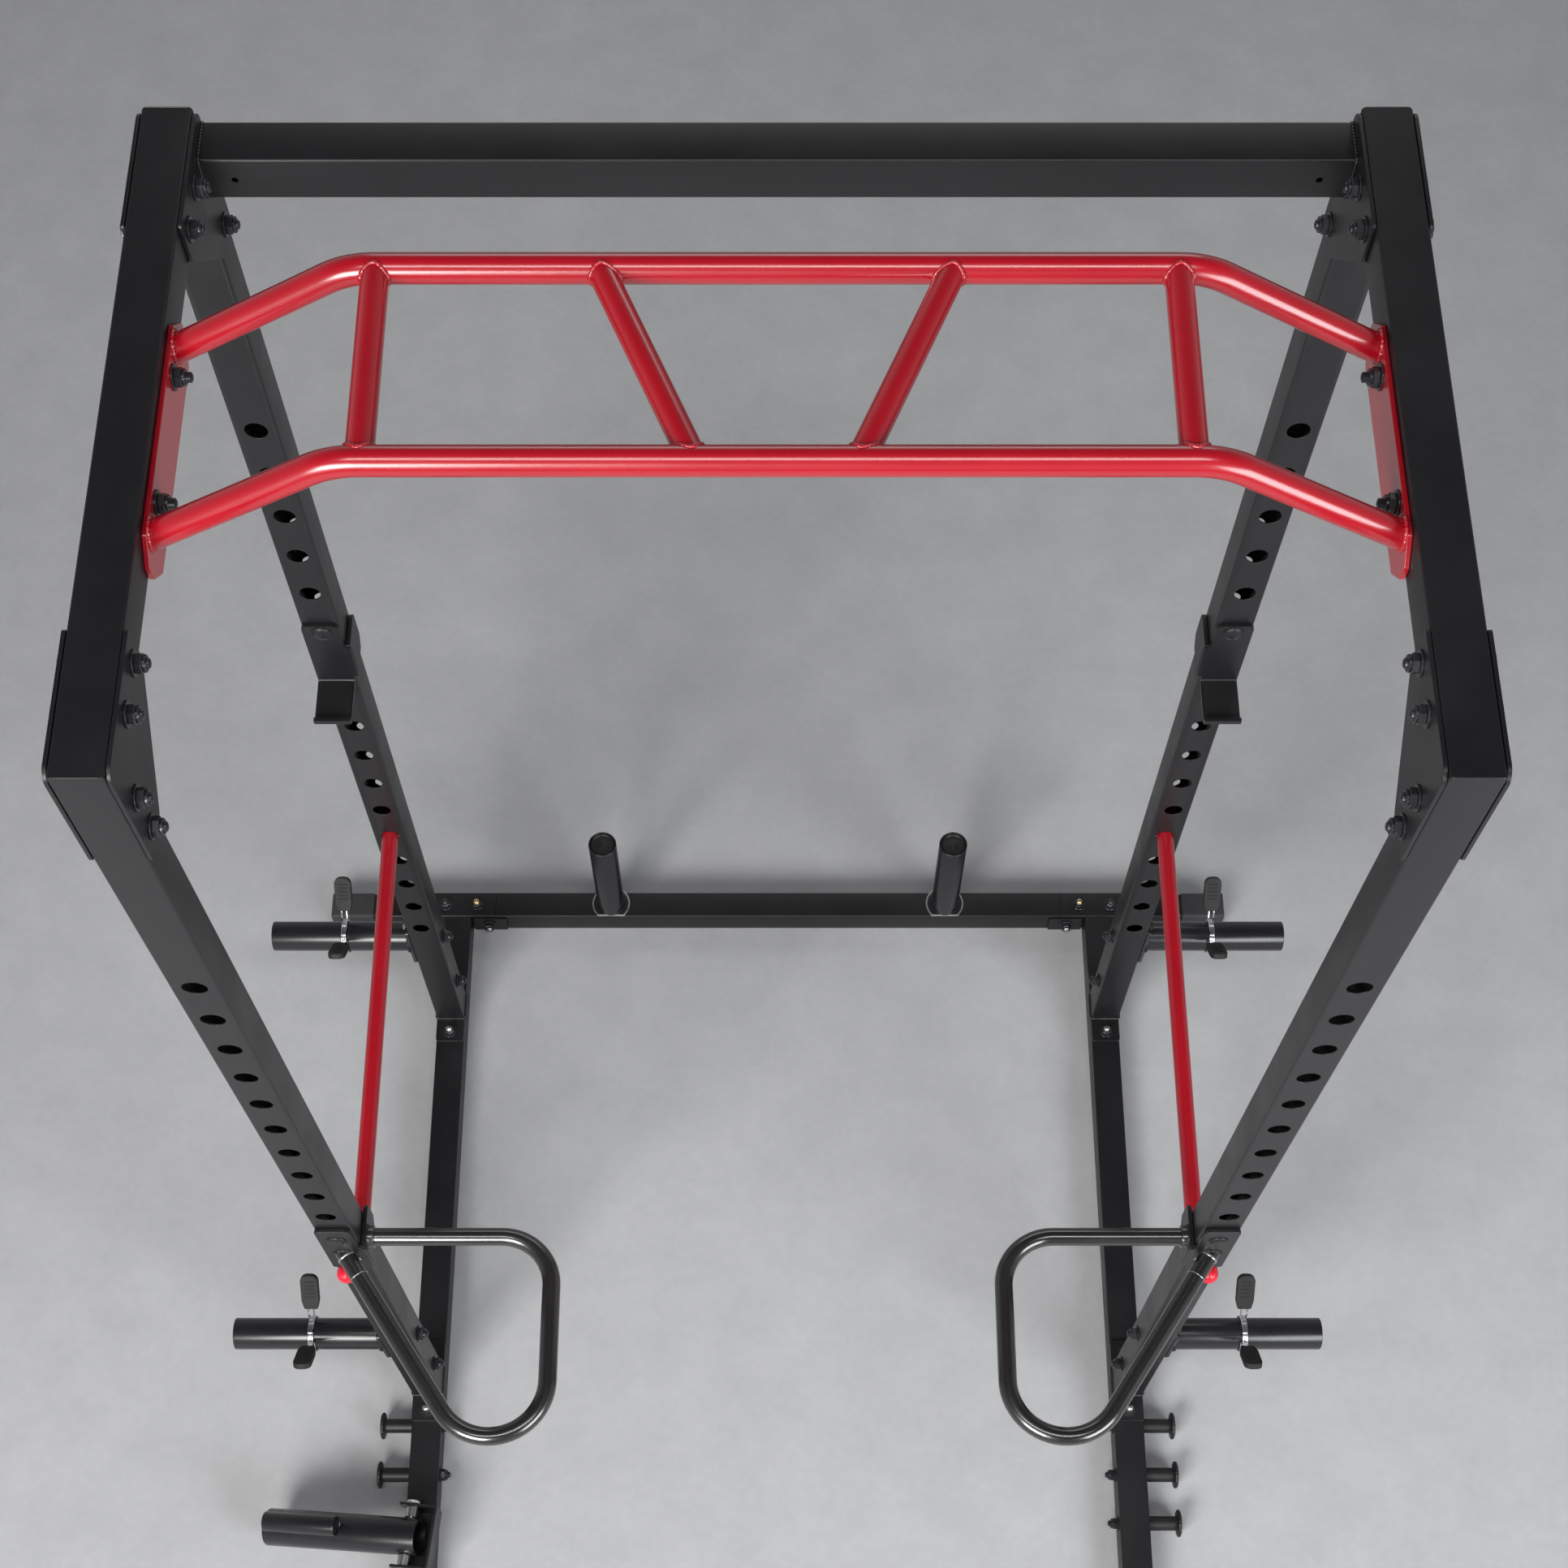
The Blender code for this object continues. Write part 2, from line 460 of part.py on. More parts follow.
# ------------------------------------------------------------------ J-hooks
RF = RY - TUBE          # front face of the rear uprights
for side, s in SIDES:
    def bx(xa, xb, y0, y1, z0, z1):
        a, b = sorted((s * xa, s * xb))
        return bm_box(a, b, y0, y1, z0, z1)
    xi = INNER - GAP - 0.006
    f1 = RF - GAP
    pts = [(s * XO, J_Z0 - 0.006), (s * XO, J_Z1 - 0.006), (s * (XO - 0.006), J_Z1), (s * (INNER + 0.008), J_Z1),
           (s * (INNER + 0.001), J_Z1 - 0.007), (s * (INNER + 0.001), 1.2735), (s * xi, 1.2675), (s * xi, 1.2055),
           (s * (INNER + 0.001), 1.2015), (s * (INNER + 0.001), J_Z0 - 0.006)]
    o = obj_from(bm_prism(pts, 'Y', f1 - 0.006, f1), "j_hook_" + side, "frame_black")
    ear = [(f1 - 0.003, 1.272), (RF + 0.046, 1.272), (RF + 0.050, 1.268), (RF + 0.050, 1.222),
           (RF + 0.038, 1.205), (f1 - 0.003, 1.205)]
    a, b = sorted((s * xi, s * (xi + 0.006)))
    fuse(o, tmp(bm_prism(ear, 'X', a, b)))
    fuse(o, tmp(bx(INNER + 0.001, XO, f1 - 0.070, f1 - 0.003, J_Z0 - 0.006, J_Z0)),
         tmp(bx(INNER + 0.001, XO, f1 - 0.075, f1 - 0.069, J_Z0 - 0.006, J_Z0 + 0.008)),
         tmp(bm_turned((s * XC, f1 - 0.0095, J_PIN), (0, 1, 0),
                       [(0, 0), (0, 0.0105), (0.0015, 0.0125), (0.0395, 0.0120), (0.0395, 0)], 12)))
    smooth(o, 35)
    origin_at(o, (s * XC, RF, J_PIN))

# ------------------------------------------------------------------ safety bars
for side, s in SIDES:
    o = obj_from(bm_turned((s * XC, FY + 0.006, SAFE_Z), (0, 1, 0),
                           [(0, 0), (0, 0.0105), (0.002, SAFE_R), (0.7445, SAFE_R), (0.7445, 0.0180),
                            (0.7520, 0.0180), (0.7540, 0.0160), (0.7540, 0)]), "safety_bar_" + side, "coat_red")
    smooth(o)
    origin_at(o, (s * XC, FY, SAFE_Z))

# ------------------------------------------------------------------ dip handles and pull knobs
for side, s in SIDES:
    xi = INNER - GAP - 0.006
    f1 = FY - GAP
    pts = [(s * XO, 0.790), (s * XO, 0.936), (s * (XO - 0.006), 0.942), (s * (INNER + 0.008), 0.942),
           (s * (INNER + 0.001), 0.935), (s * (INNER + 0.001), 0.872), (s * xi, 0.866), (s * xi, 0.796),
           (s * (xi + 0.006), 0.790)]
    o = obj_from(bm_prism(pts, 'Y', f1 - 0.006, f1), "dip_handle_" + side, "handle_black")
    ear = [(f1 - 0.003, 0.868), (FY + 0.056, 0.868), (FY + 0.060, 0.864), (FY + 0.060, 0.822),
           (FY + 0.048, 0.806), (f1 - 0.003, 0.796)]
    a, b = sorted((s * xi, s * (xi + 0.006)))
    fuse(o, tmp(bm_prism(ear, 'X', a, b)))
    fuse(o, tmp(bm_turned((s * XC, f1 - 0.0095, DIP_PIN), (0, 1, 0),
                          [(0, 0), (0, 0.0105), (0.0015, 0.0125), (0.0395, 0.0120), (0.0395, 0)], 12)))
    path = bend_path([(s * (xi + 0.003), FY + 0.018, DIP_Z), (s * 0.3085, FY + 0.018, DIP_Z),
                      (s * 0.3085, FY - 0.4393, DIP_Z), (s * 0.5950, FY - 0.0035, DIP_Z)],
                     (0.070, 0.0763), 5)
    fuse(o, tmp(bm_bent(path, DIP_R, SEG_B, ends=((1, 0, 0), (0, 1, 0)))))
    fuse(o, tmp(bm_rod((s * (xi + 0.001), FY + 0.018, DIP_Z), (s * (xi - 0.010), FY + 0.018, DIP_Z), 0.0160, 12)))
    cut(o, tmp(bm_rod((s * XC, FY - 0.03, KNOB_Z), (s * XC, FY + 0.01, KNOB_Z), 0.0050, 8)))
    smooth(o, 35)
    origin_at(o, (s * XC, FY, DIP_PIN))
    k = obj_from(bm_turned((s * XC, FY - 0.0380, KNOB_Z), (0, 1, 0),
                           [(0, 0), (0, 0.0120), (0.003, 0.0140), (0.022, 0.0140), (0.0235, 0.0110),
                            (0.0270, 0.0085), (0.0310, 0.0085), (0.0310, 0.0040), (0.0440, 0.0040), (0.0440, 0)], 12),
                 "pull_knob_" + side, "plastic_red")
    smooth(k)
    origin_at(k, (s * XC, FY, KNOB_Z))

# ------------------------------------------------------------------ spring collars
def grip(s, ang, x0, arm_r0, yc):
    """Arm and rubber grip that stand out from the sleeve at an angle about its axis."""
    rot = Matrix.Translation((0, yc, SLEEVE_Z)) @ Matrix.Rotation(ang, 4, 'X')
    a, b = sorted((s * (x0 - 0.0025), s * (x0 + 0.0025)))
    arm = bm_box(a, b, arm_r0, 0.050, -0.0025, 0.0025)
    a, b = sorted((s * (COLLAR_X - 0.0140), s * (COLLAR_X + 0.0140)))
    pad = bm_prism([(a + 0.004, 0.046), (b - 0.004, 0.046), (b, 0.054), (b, 0.098), (b - 0.006, 0.105),
                    (a + 0.006, 0.105), (a, 0.098), (a, 0.054)], 'Z', -0.0055, 0.0055)
    for bm in (arm, pad):
        bmesh.ops.transform(bm, matrix=rot, verts=bm.verts[:])
    return arm, pad

for side, s in SIDES:
    for where, y0 in (("front", FY), ("rear", RY - TUBE)):
        yc = y0 + TUBE / 2
        r = 0.0258 / math.cos(math.pi / SEG)
        a = bm_turned((s * (COLLAR_X - 0.007), yc, SLEEVE_Z), (s, 0, 0),
                      [(0, r), (0, 0.0310), (0.014, 0.0310), (0.014, r)])
        o = obj_from(a, "collar_spring_%s_%s" % (where, side), "spring_steel")
        arm, pad = grip(s, math.radians(45), COLLAR_X + 0.0045, 0.0285, yc)
        fuse(o, tmp(arm), tmp(pad))
        smooth(o, 35)
        origin_at(o, (s * COLLAR_X, yc, SLEEVE_Z))
        arm, pad = grip(s, math.radians(135), COLLAR_X - 0.0045, 0.0316, yc)
        o = obj_from(arm, "collar_lever_%s_%s" % (where, side), "rubber")
        fuse(o, tmp(pad))
        origin_at(o, (s * COLLAR_X, yc, SLEEVE_Z))
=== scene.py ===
import bpy, bmesh, math
from mathutils import Vector, Matrix


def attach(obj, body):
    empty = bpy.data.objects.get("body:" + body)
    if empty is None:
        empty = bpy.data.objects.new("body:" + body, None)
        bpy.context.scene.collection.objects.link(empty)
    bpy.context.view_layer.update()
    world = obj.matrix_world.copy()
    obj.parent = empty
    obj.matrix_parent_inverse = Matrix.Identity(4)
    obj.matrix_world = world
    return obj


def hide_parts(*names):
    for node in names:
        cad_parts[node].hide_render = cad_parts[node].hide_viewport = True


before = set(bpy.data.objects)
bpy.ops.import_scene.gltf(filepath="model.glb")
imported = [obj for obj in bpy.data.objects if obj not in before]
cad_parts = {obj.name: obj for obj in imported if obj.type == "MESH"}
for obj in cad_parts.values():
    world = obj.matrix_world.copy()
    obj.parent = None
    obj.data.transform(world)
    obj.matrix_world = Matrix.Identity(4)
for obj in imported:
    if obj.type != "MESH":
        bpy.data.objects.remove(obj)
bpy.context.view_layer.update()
ROOT = "frame"

# ------------------------------------------------------------------ dimensions (metres, row frame)
TUBE, WALL, GAP, XC = 0.050, 0.002, 0.0003, 0.595
FY, RY, TOP = -0.280, 0.470, 2.130
BASE_FRONT, FLOOR_Y0, FLOOR_Y1, FLOOR_JOINT, OUT_END = -0.680, 0.630, 0.680, 0.525, 0.830
HOLE_TOP, HOLE_PITCH, HOLE_N, HOLE_R = 1.705, 0.080, 17, 0.0133
FOOT_T, FOOT_REACH, GUS, GUS_T = 0.006, 0.045, 0.150, 0.004
CROSS_Z0, CROSS_Z1 = 2.062, 2.112
BAR_R, BAR_Z0, BAR_Z1, BAR_BEND = 0.0138, 2.100, 2.2074, 0.385
BAR_YF, BAR_YR = FY + 0.268, FY + 0.479
PLATE_Y0, PLATE_Y1 = FY + 0.235, FY + 0.515
SLEEVE_R, SLEEVE_RI, SLEEVE_Z, SLEEVE_END, FLANGE_T = 0.025, 0.022, 0.345, 0.858, 0.006
PEG_X, PEG_TOP = 0.310, 0.285
BAND_Y = (FY - 0.046, FY - 0.130, FY - 0.212)
LM_Y, LM_X, LM_PIN_X, LM_PIN_Z = FY - 0.2485, 0.595, 0.607, 0.095
LM_TILT, LM_YAW, LM_LEN, LM_RO, LM_RI = math.radians(11), math.radians(6), 0.245, 0.0305, 0.0265
J_Z0, J_Z1, J_PIN = 1.194, 1.321, 1.305
SAFE_Z, SAFE_R, DIP_Z, DIP_R, DIP_PIN, KNOB_Z, COLLAR_X = 0.745, 0.0125, 0.850, 0.0125, 0.905, 0.8165, 0.735
INNER, XO, RF = XC - TUBE / 2, XC + TUBE / 2, RY - TUBE
SIDES = (("left", -1), ("right", 1))
WHERE = (("front", FY, False), ("rear", RY - TUBE, True))
SEG = 48

# ------------------------------------------------------------------ procedural materials
def coated(name, rgb, rough, metal=0.0, var=0.16, grain=620.0, bump=0.10, dist=0.0004, drough=0.07,
           coat=0.0, coat_rough=0.12, spec=0.5, dust=None, dust_amount=0.0, brushed=None):
    m = bpy.data.materials.new(name)
    m.use_nodes = True
    nt = m.node_tree
    N, L = nt.nodes, nt.links
    b = N["Principled BSDF"]
    b.inputs["Metallic"].default_value = metal
    b.inputs["Specular IOR Level"].default_value = spec
    b.inputs["Coat Weight"].default_value = coat
    b.inputs["Coat Roughness"].default_value = coat_rough
    tc = N.new("ShaderNodeTexCoord")
    src = tc.outputs["Object"]
    if brushed:
        mp = N.new("ShaderNodeMapping")
        mp.inputs["Scale"].default_value = brushed
        L.new(src, mp.inputs["Vector"])
        fine_src = mp.outputs["Vector"]
    else:
        fine_src = src
    big = N.new("ShaderNodeTexNoise")
    big.inputs["Scale"].default_value = 9.0
    big.inputs["Detail"].default_value = 5.0
    big.inputs["Roughness"].default_value = 0.6
    L.new(src, big.inputs["Vector"])
    fine = N.new("ShaderNodeTexNoise")
    fine.inputs["Scale"].default_value = grain
    fine.inputs["Detail"].default_value = 2.0
    L.new(fine_src, fine.inputs["Vector"])
    ramp = N.new("ShaderNodeValToRGB")
    e = ramp.color_ramp.elements
    e[0].position, e[1].position = 0.30, 0.72
    e[0].color = (*[c * (1 - var) for c in rgb], 1)
    e[1].color = (*[min(1, c * (1 + var)) for c in rgb], 1)
    L.new(big.outputs["Fac"], ramp.inputs["Fac"])
    col = ramp.outputs["Color"]
    # fine speckle of the coat
    sp = N.new("ShaderNodeMixRGB")
    sp.blend_type = 'MULTIPLY'
    sr = N.new("ShaderNodeValToRGB")
    sr.color_ramp.elements[0].position, sr.color_ramp.elements[1].position = 0.35, 0.65
    sr.color_ramp.elements[0].color = (1 - var * 0.8,) * 3 + (1,)
    sr.color_ramp.elements[1].color = (1.0, 1.0, 1.0, 1)
    L.new(fine.outputs["Fac"], sr.inputs["Fac"])
    sp.inputs["Fac"].default_value = 1.0
    L.new(col, sp.inputs["Color1"])
    L.new(sr.outputs["Color"], sp.inputs["Color2"])
    col = sp.outputs["Color"]
    if dust:
        # dust settles on faces that look up
        geo = N.new("ShaderNodeNewGeometry")
        sep = N.new("ShaderNodeSeparateXYZ")
        L.new(geo.outputs["Normal"], sep.inputs[0])
        mr = N.new("ShaderNodeMapRange")
        mr.inputs["From Min"].default_value, mr.inputs["From Max"].default_value = 0.75, 1.0
        mr.inputs["To Max"].default_value = dust_amount
        L.new(sep.outputs["Z"], mr.inputs["Value"])
        mul = N.new("ShaderNodeMath")
        mul.operation = 'MULTIPLY'
        L.new(mr.outputs["Result"], mul.inputs[0])
        L.new(big.outputs["Fac"], mul.inputs[1])
        mx = N.new("ShaderNodeMixRGB")
        mx.inputs["Color2"].default_value = (*dust, 1)
        L.new(mul.outputs[0], mx.inputs["Fac"])
        L.new(col, mx.inputs["Color1"])
        col = mx.outputs["Color"]
    L.new(col, b.inputs["Base Color"])
    rr = N.new("ShaderNodeMapRange")
    rr.inputs["From Min"].default_value, rr.inputs["From Max"].default_value = 0.3, 0.7
    rr.inputs["To Min"].default_value, rr.inputs["To Max"].default_value = rough - drough, rough + drough
    L.new(big.outputs["Fac"], rr.inputs["Value"])
    L.new(rr.outputs["Result"], b.inputs["Roughness"])
    bp = N.new("ShaderNodeBump")
    bp.inputs["Strength"].default_value = bump
    bp.inputs["Distance"].default_value = dist
    L.new(fine.outputs["Fac"], bp.inputs["Height"])
    L.new(bp.outputs["Normal"], b.inputs["Normal"])
    return m

M = dict(
    frame=coated("frame_black_coat", (0.0075, 0.0071, 0.0085), 0.40, bump=0.20, grain=700, spec=0.42, drough=0.05),
    weld=coated("frame_black_weld", (0.0075, 0.0071, 0.0085), 0.30, bump=0.3, grain=500),
    red=coated("coat_red_satin", (0.33, 0.0027, 0.0105), 0.25, bump=0.06, grain=650, var=0.05, spec=0.6, coat=0.45, coat_rough=0.16, drough=0.03),
    sleeve=coated("sleeve_black_coat", (0.012, 0.012, 0.014), 0.27, bump=0.03, grain=700, spec=0.55, drough=0.03),
    handle=coated("handle_black_gloss", (0.011, 0.0097, 0.0094), 0.24, bump=0.05, grain=500, spec=0.9, coat=0.45, drough=0.04),
    rubber=coated("rubber_black_moulded", (0.010, 0.010, 0.011), 0.60, bump=0.45, grain=900, spec=0.35, drough=0.08),
    foot=coated("rubber_black_foot", (0.040, 0.040, 0.043), 0.66, bump=0.45, grain=800, spec=0.35, drough=0.08),
    plastic=coated("plastic_black_moulded", (0.010, 0.010, 0.011), 0.45, bump=0.30, grain=1100, spec=0.4),
    knob=coated("plastic_red_moulded", (0.70, 0.010, 0.030), 0.34, bump=0.10, grain=900, var=0.08),
    chrome=coated("spring_steel_plated", (0.78, 0.78, 0.80), 0.14, metal=1.0, bump=0.05, grain=800, var=0.06, drough=0.05),
    zinc=coated("bolt_steel_zinc", (0.60, 0.59, 0.57), 0.30, metal=1.0, bump=0.10, grain=900, var=0.12, drough=0.07),
    brass=coated("bolt_steel_yellow_zinc", (0.62, 0.47, 0.24), 0.28, metal=1.0, bump=0.10, grain=900, var=0.14, drough=0.07),
    oxide=coated("frame_black_oxide", (0.045, 0.045, 0.050), 0.30, metal=0.6, bump=0.12, grain=900, var=0.2, drough=0.08),
)

# ------------------------------------------------------------------ mesh helpers
def obj_from(bm, name, mat):
    bmesh.ops.recalc_face_normals(bm, faces=bm.faces[:])
    me = bpy.data.meshes.new(name)
    bm.to_mesh(me)
    bm.free()
    if mat:
        me.materials.append(M[mat])
    o = bpy.data.objects.new(name, me)
    bpy.context.scene.collection.objects.link(o)
    return o

def tmp(bm):
    return obj_from(bm, "tool", None)

def boolean(base, tool, op):
    mod = base.modifiers.new("b", 'BOOLEAN')
    mod.operation, mod.solver, mod.object = op, 'EXACT', tool
    dg = bpy.context.evaluated_depsgraph_get()
    me = bpy.data.meshes.new_from_object(base.evaluated_get(dg))
    base.modifiers.clear()
    mats = [m for m in base.data.materials]
    old = base.data
    base.data = me
    bpy.data.meshes.remove(old)
    me.materials.clear()
    for m in mats:
        me.materials.append(m)
    for p in me.polygons:
        p.material_index = 0
    tm = tool.data
    bpy.data.objects.remove(tool, do_unlink=True)
    bpy.data.meshes.remove(tm)

def fuse(base, *tools):
    for t in tools:
        boolean(base, t, 'UNION')
    return base

def cut(base, *tools):
    for t in tools:
        boolean(base, t, 'DIFFERENCE')
    return base

def join(*bms):
    out = bmesh.new()
    for b in bms:
        me = bpy.data.meshes.new("t")
        bmesh.ops.recalc_face_normals(b, faces=b.faces[:])
        b.to_mesh(me)
        b.free()
        out.from_mesh(me)
        bpy.data.meshes.remove(me)
    return out

def done(o, body, nodes=(), bevel=0.0, seg=2, deg=38.0):
    """Shade, edge-round and hand the piece to its CAD body."""
    o.data.shade_smooth()
    o.data.set_sharp_from_angle(angle=math.radians(deg))
    if bevel:
        b = o.modifiers.new("edge", 'BEVEL')
        b.width, b.segments, b.limit_method, b.angle_limit = bevel, seg, 'ANGLE', math.radians(deg)
        b.harden_normals = True
        b.use_clamp_overlap = True
    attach(o, body)
    if nodes:
        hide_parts(*([nodes] if isinstance(nodes, str) else nodes))
    return o

def bm_box(x0, x1, y0, y1, z0, z1):
    bm = bmesh.new()
    bmesh.ops.create_cube(bm, size=1.0)
    for v in bm.verts:
        v.co = Vector(((x0 + x1) / 2 + v.co.x * (x1 - x0), (y0 + y1) / 2 + v.co.y * (y1 - y0),
                       (z0 + z1) / 2 + v.co.z * (z1 - z0)))
    return bm

def round_poly(pts, r, n=5):
    """Outline with its corners rounded; r is one radius or one for each corner."""
    out = []
    m = len(pts)
    for i in range(m):
        a, b, c = Vector(pts[i - 1]), Vector(pts[i]), Vector(pts[(i + 1) % m])
        q = r[i] if isinstance(r, (list, tuple)) else r
        u, v = (a - b), (c - b)
        lu, lv = u.length, v.length
        if q <= 1e-6 or lu < 1e-9 or lv < 1e-9:
            out.append(tuple(b))
            continue
        u.normalize(); v.normalize()
        ang = u.angle(v)
        if ang > math.radians(176):
            out.append(tuple(b))
            continue
        d = min(q / math.tan(ang / 2), lu * 0.49, lv * 0.49)
        q = d * math.tan(ang / 2)
        ctr = b + (u + v).normalized() * (q / math.sin(ang / 2))
        s, e = b + u * d - ctr, b + v * d - ctr
        tot = s.angle(e)
        for k in range(n + 1):
            w = k / n
            p = ctr + (s * math.sin((1 - w) * tot) + e * math.sin(w * tot)) / math.sin(tot)
            out.append(tuple(p))
    return out

def bm_prism(pts, axis, lo, hi):
    def at(p, t):
        return {'X': (t, p[0], p[1]), 'Y': (p[0], t, p[1]), 'Z': (p[0], p[1], t)}[axis]
    bm = bmesh.new()
    a = [bm.verts.new(at(p, lo)) for p in pts]
    b = [bm.verts.new(at(p, hi)) for p in pts]
    bm.faces.new(a)
    bm.faces.new(b[::-1])
    n = len(pts)
    for i in range(n):
        bm.faces.new((a[i], b[i], b[(i + 1) % n], a[(i + 1) % n]))
    return bm

def frame_of(d):
    d = d.normalized()
    h = Vector((0, 0, 1)) if abs(d.z) < 0.9 else Vector((1, 0, 0))
    u = h.cross(d).normalized()
    return u, d.cross(u)

def bm_rod(p0, p1, r, n=SEG, r1=None, turn=0.5):
    p0, p1 = Vector(p0), Vector(p1)
    return bm_turned(p0, p1 - p0, [(0, 0), (0, r), ((p1 - p0).length, r if r1 is None else r1), ((p1 - p0).length, 0)], n, turn)

def bm_turned(p0, axis, prof, n=SEG, turn=0.5, wave=None):
    """Turned solid: prof is a closed list of (distance along axis, radius)."""
    p0, d = Vector(p0), Vector(axis).normalized()
    u, v = frame_of(d)
    bm = bmesh.new()
    rings = []
    for t, r in prof:
        if r < 1e-6:
            rings.append([bm.verts.new(p0 + d * t)])
        else:
            ring = []
            for i in range(n):
                a = 2 * math.pi * (i + turn) / n
                q = r * (wave(a, t, r) if wave else 1.0)
                ring.append(bm.verts.new(p0 + d * t + q * (math.cos(a) * u + math.sin(a) * v)))
            rings.append(ring)
    m = len(rings)
    for k in range(m):
        a, b = rings[k], rings[(k + 1) % m]
        if len(a) == 1 and len(b) == 1:
            continue
        for i in range(n):
            j = (i + 1) % n
            if len(a) == 1:
                bm.faces.new((a[0], b[j], b[i]))
            elif len(b) == 1:
                bm.faces.new((a[i], a[j], b[0]))
            else:
                bm.faces.new((a[i], a[j], b[j], b[i]))
    return bm

def rrect(h, r, n=5):
    pts = []
    for (sx, sy, a0) in ((1, 1, 0), (-1, 1, 90), (-1, -1, 180), (1, -1, 270)):
        for k in range(n + 1):
            a = math.radians(a0 + 90 * k / n)
            pts.append((sx * (h - r) + r * math.cos(a), sy * (h - r) + r * math.sin(a)))
    return pts

def bm_tube(axis, lo, hi, c, size=TUBE, wall=WALL, lo_cut=None, hi_cut=None, r=0.0027):
    """Open square tube with rounded corners; the cuts shift its ends for a mitre."""
    bm = bmesh.new()
    loops = []
    for h, q in ((size / 2, r), (size / 2 - wall, max(r - wall, 0.0008))):
        prof = rrect(h, q)
        for t, f in ((lo, lo_cut), (hi, hi_cut)):
            ring = []
            for da, db in prof:
                a, b = c[0] + da, c[1] + db
                tt = t + (f(a, b) if f else 0.0)
                ring.append(bm.verts.new({'X': (tt, a, b), 'Y': (a, tt, b), 'Z': (a, b, tt)}[axis]))
            loops.append(ring)
    ol, oh, il, ih = loops
    n = len(ol)
    for i in range(n):
        j = (i + 1) % n
        bm.faces.new((ol[i], ol[j], oh[j], oh[i]))
        bm.faces.new((il[j], il[i], ih[i], ih[j]))
        bm.faces.new((ol[j], ol[i], il[i], il[j]))
        bm.faces.new((oh[i], oh[j], ih[j], ih[i]))
    return bm

def bend_path(pts, radii, steps=14):
    pts = [Vector(p) for p in pts]
    out = [pts[0]]
    for k in range(1, len(pts) - 1):
        a, b, c = pts[k - 1], pts[k], pts[k + 1]
        u, v = (a - b).normalized(), (c - b).normalized()
        ang = u.angle(v)
        r = radii[k - 1]
        d = r / math.tan(ang / 2)
        centre = b + (u + v).normalized() * (r / math.sin(ang / 2))
        s, e = b + u * d - centre, b + v * d - centre
        tot = s.angle(e)
        for i in range(steps + 1):
            w = i / steps
            out.append(centre + (s * math.sin((1 - w) * tot) + e * math.sin(w * tot)) / math.sin(tot))
    out.append(pts[-1])
    return out

def bm_bent(path, r, n=32, up=(0, 0, 1), ends=(None, None), radius=None):
    bm = bmesh.new()
    rings = []
    m = len(path)
    up = Vector(up)
    for k, p in enumerate(path):
        if k == 0:
            t = path[1] - path[0]
        elif k == m - 1:
            t = path[-1] - path[-2]
        else:
            t = (path[k] - path[k - 1]).normalized() + (path[k + 1] - path[k]).normalized()
        t.normalize()
        s = up.cross(t).normalized()
        w = t.cross(s)
        q = radius(k) if radius else r
        ring = [p + q * (math.cos(2 * math.pi * (i + 0.5) / n) * s +
                         math.sin(2 * math.pi * (i + 0.5) / n) * w) for i in range(n)]
        nrm = ends[0] if k == 0 else ends[1] if k == m - 1 else None
        if nrm is not None:
            nrm = Vector(nrm)
            ring = [x + t * ((p - x).dot(nrm) / t.dot(nrm)) for x in ring]
        rings.append([bm.verts.new(x) for x in ring])
    for k in range(m - 1):
        for i in range(n):
            j = (i + 1) % n
            bm.faces.new((rings[k][i], rings[k][j], rings[k + 1][j], rings[k + 1][i]))
    bm.faces.new(rings[0][::-1])
    bm.faces.new(rings[-1])
    return bm

def bm_bead(loop, up, r=0.0022, pitch=0.0042, n=8):
    """Weld bead along a closed loop of points, with the ripples of the weld."""
    loop = [Vector(p) for p in loop]
    pts = loop + [loop[0]]
    lens = [(pts[i + 1] - pts[i]).length for i in range(len(loop))]
    L = sum(lens)
    N = max(12, int(L / (pitch / 4)))
    path, i, acc = [], 0, 0.0
    for k in range(N):
        s = L * k / N
        while acc + lens[i] < s and i < len(lens) - 1:
            acc += lens[i]
            i += 1
        path.append(pts[i].lerp(pts[i + 1], (s - acc) / max(lens[i], 1e-9)))
    up = Vector(up).normalized()
    rip = round(L / pitch)
    bm = bmesh.new()
    rings = []
    for k in range(N):
        t = (path[(k + 1) % N] - path[k - 1]).normalized()
        a = up.cross(t).normalized()
        q = r * (1 + 0.13 * math.cos(2 * math.pi * rip * k / N) + 0.06 * math.sin(2 * math.pi * 3 * k / N))
        rings.append([bm.verts.new(path[k] + q * (math.cos(2 * math.pi * j / n) * a + math.sin(2 * math.pi * j / n) * up))
                      for j in range(n)])
    for k in range(N):
        A, B = rings[k], rings[(k + 1) % N]
        for j in range(n):
            bm.faces.new((A[j], A[(j + 1) % n], B[(j + 1) % n], B[j]))
    return bm

def circle(p, axis, r, n=40):
    u, v = frame_of(Vector(axis))
    return [Vector(p) + r * (math.cos(2 * math.pi * i / n) * u + math.sin(2 * math.pi * i / n) * v) for i in range(n)]

# fasteners --------------------------------------------------------
def washer(p, ax, r=0.0128, h=0.0017, ri=0.0):
    c = 0.0004
    return bm_turned(p, ax, [(0, ri), (0, r - c), (c, r), (h - c, r), (h, r - c), (h, ri)], 32)

def hexbody(p, ax, af=0.0180, h=0.0080, turn=0.0):
    r = af / math.sqrt(3)
    c = 0.0009
    return bm_turned(p, ax, [(0, 0), (0, r * 0.93), (c, r), (h - c, r), (h, r * 0.90), (h, 0)], 6, turn)

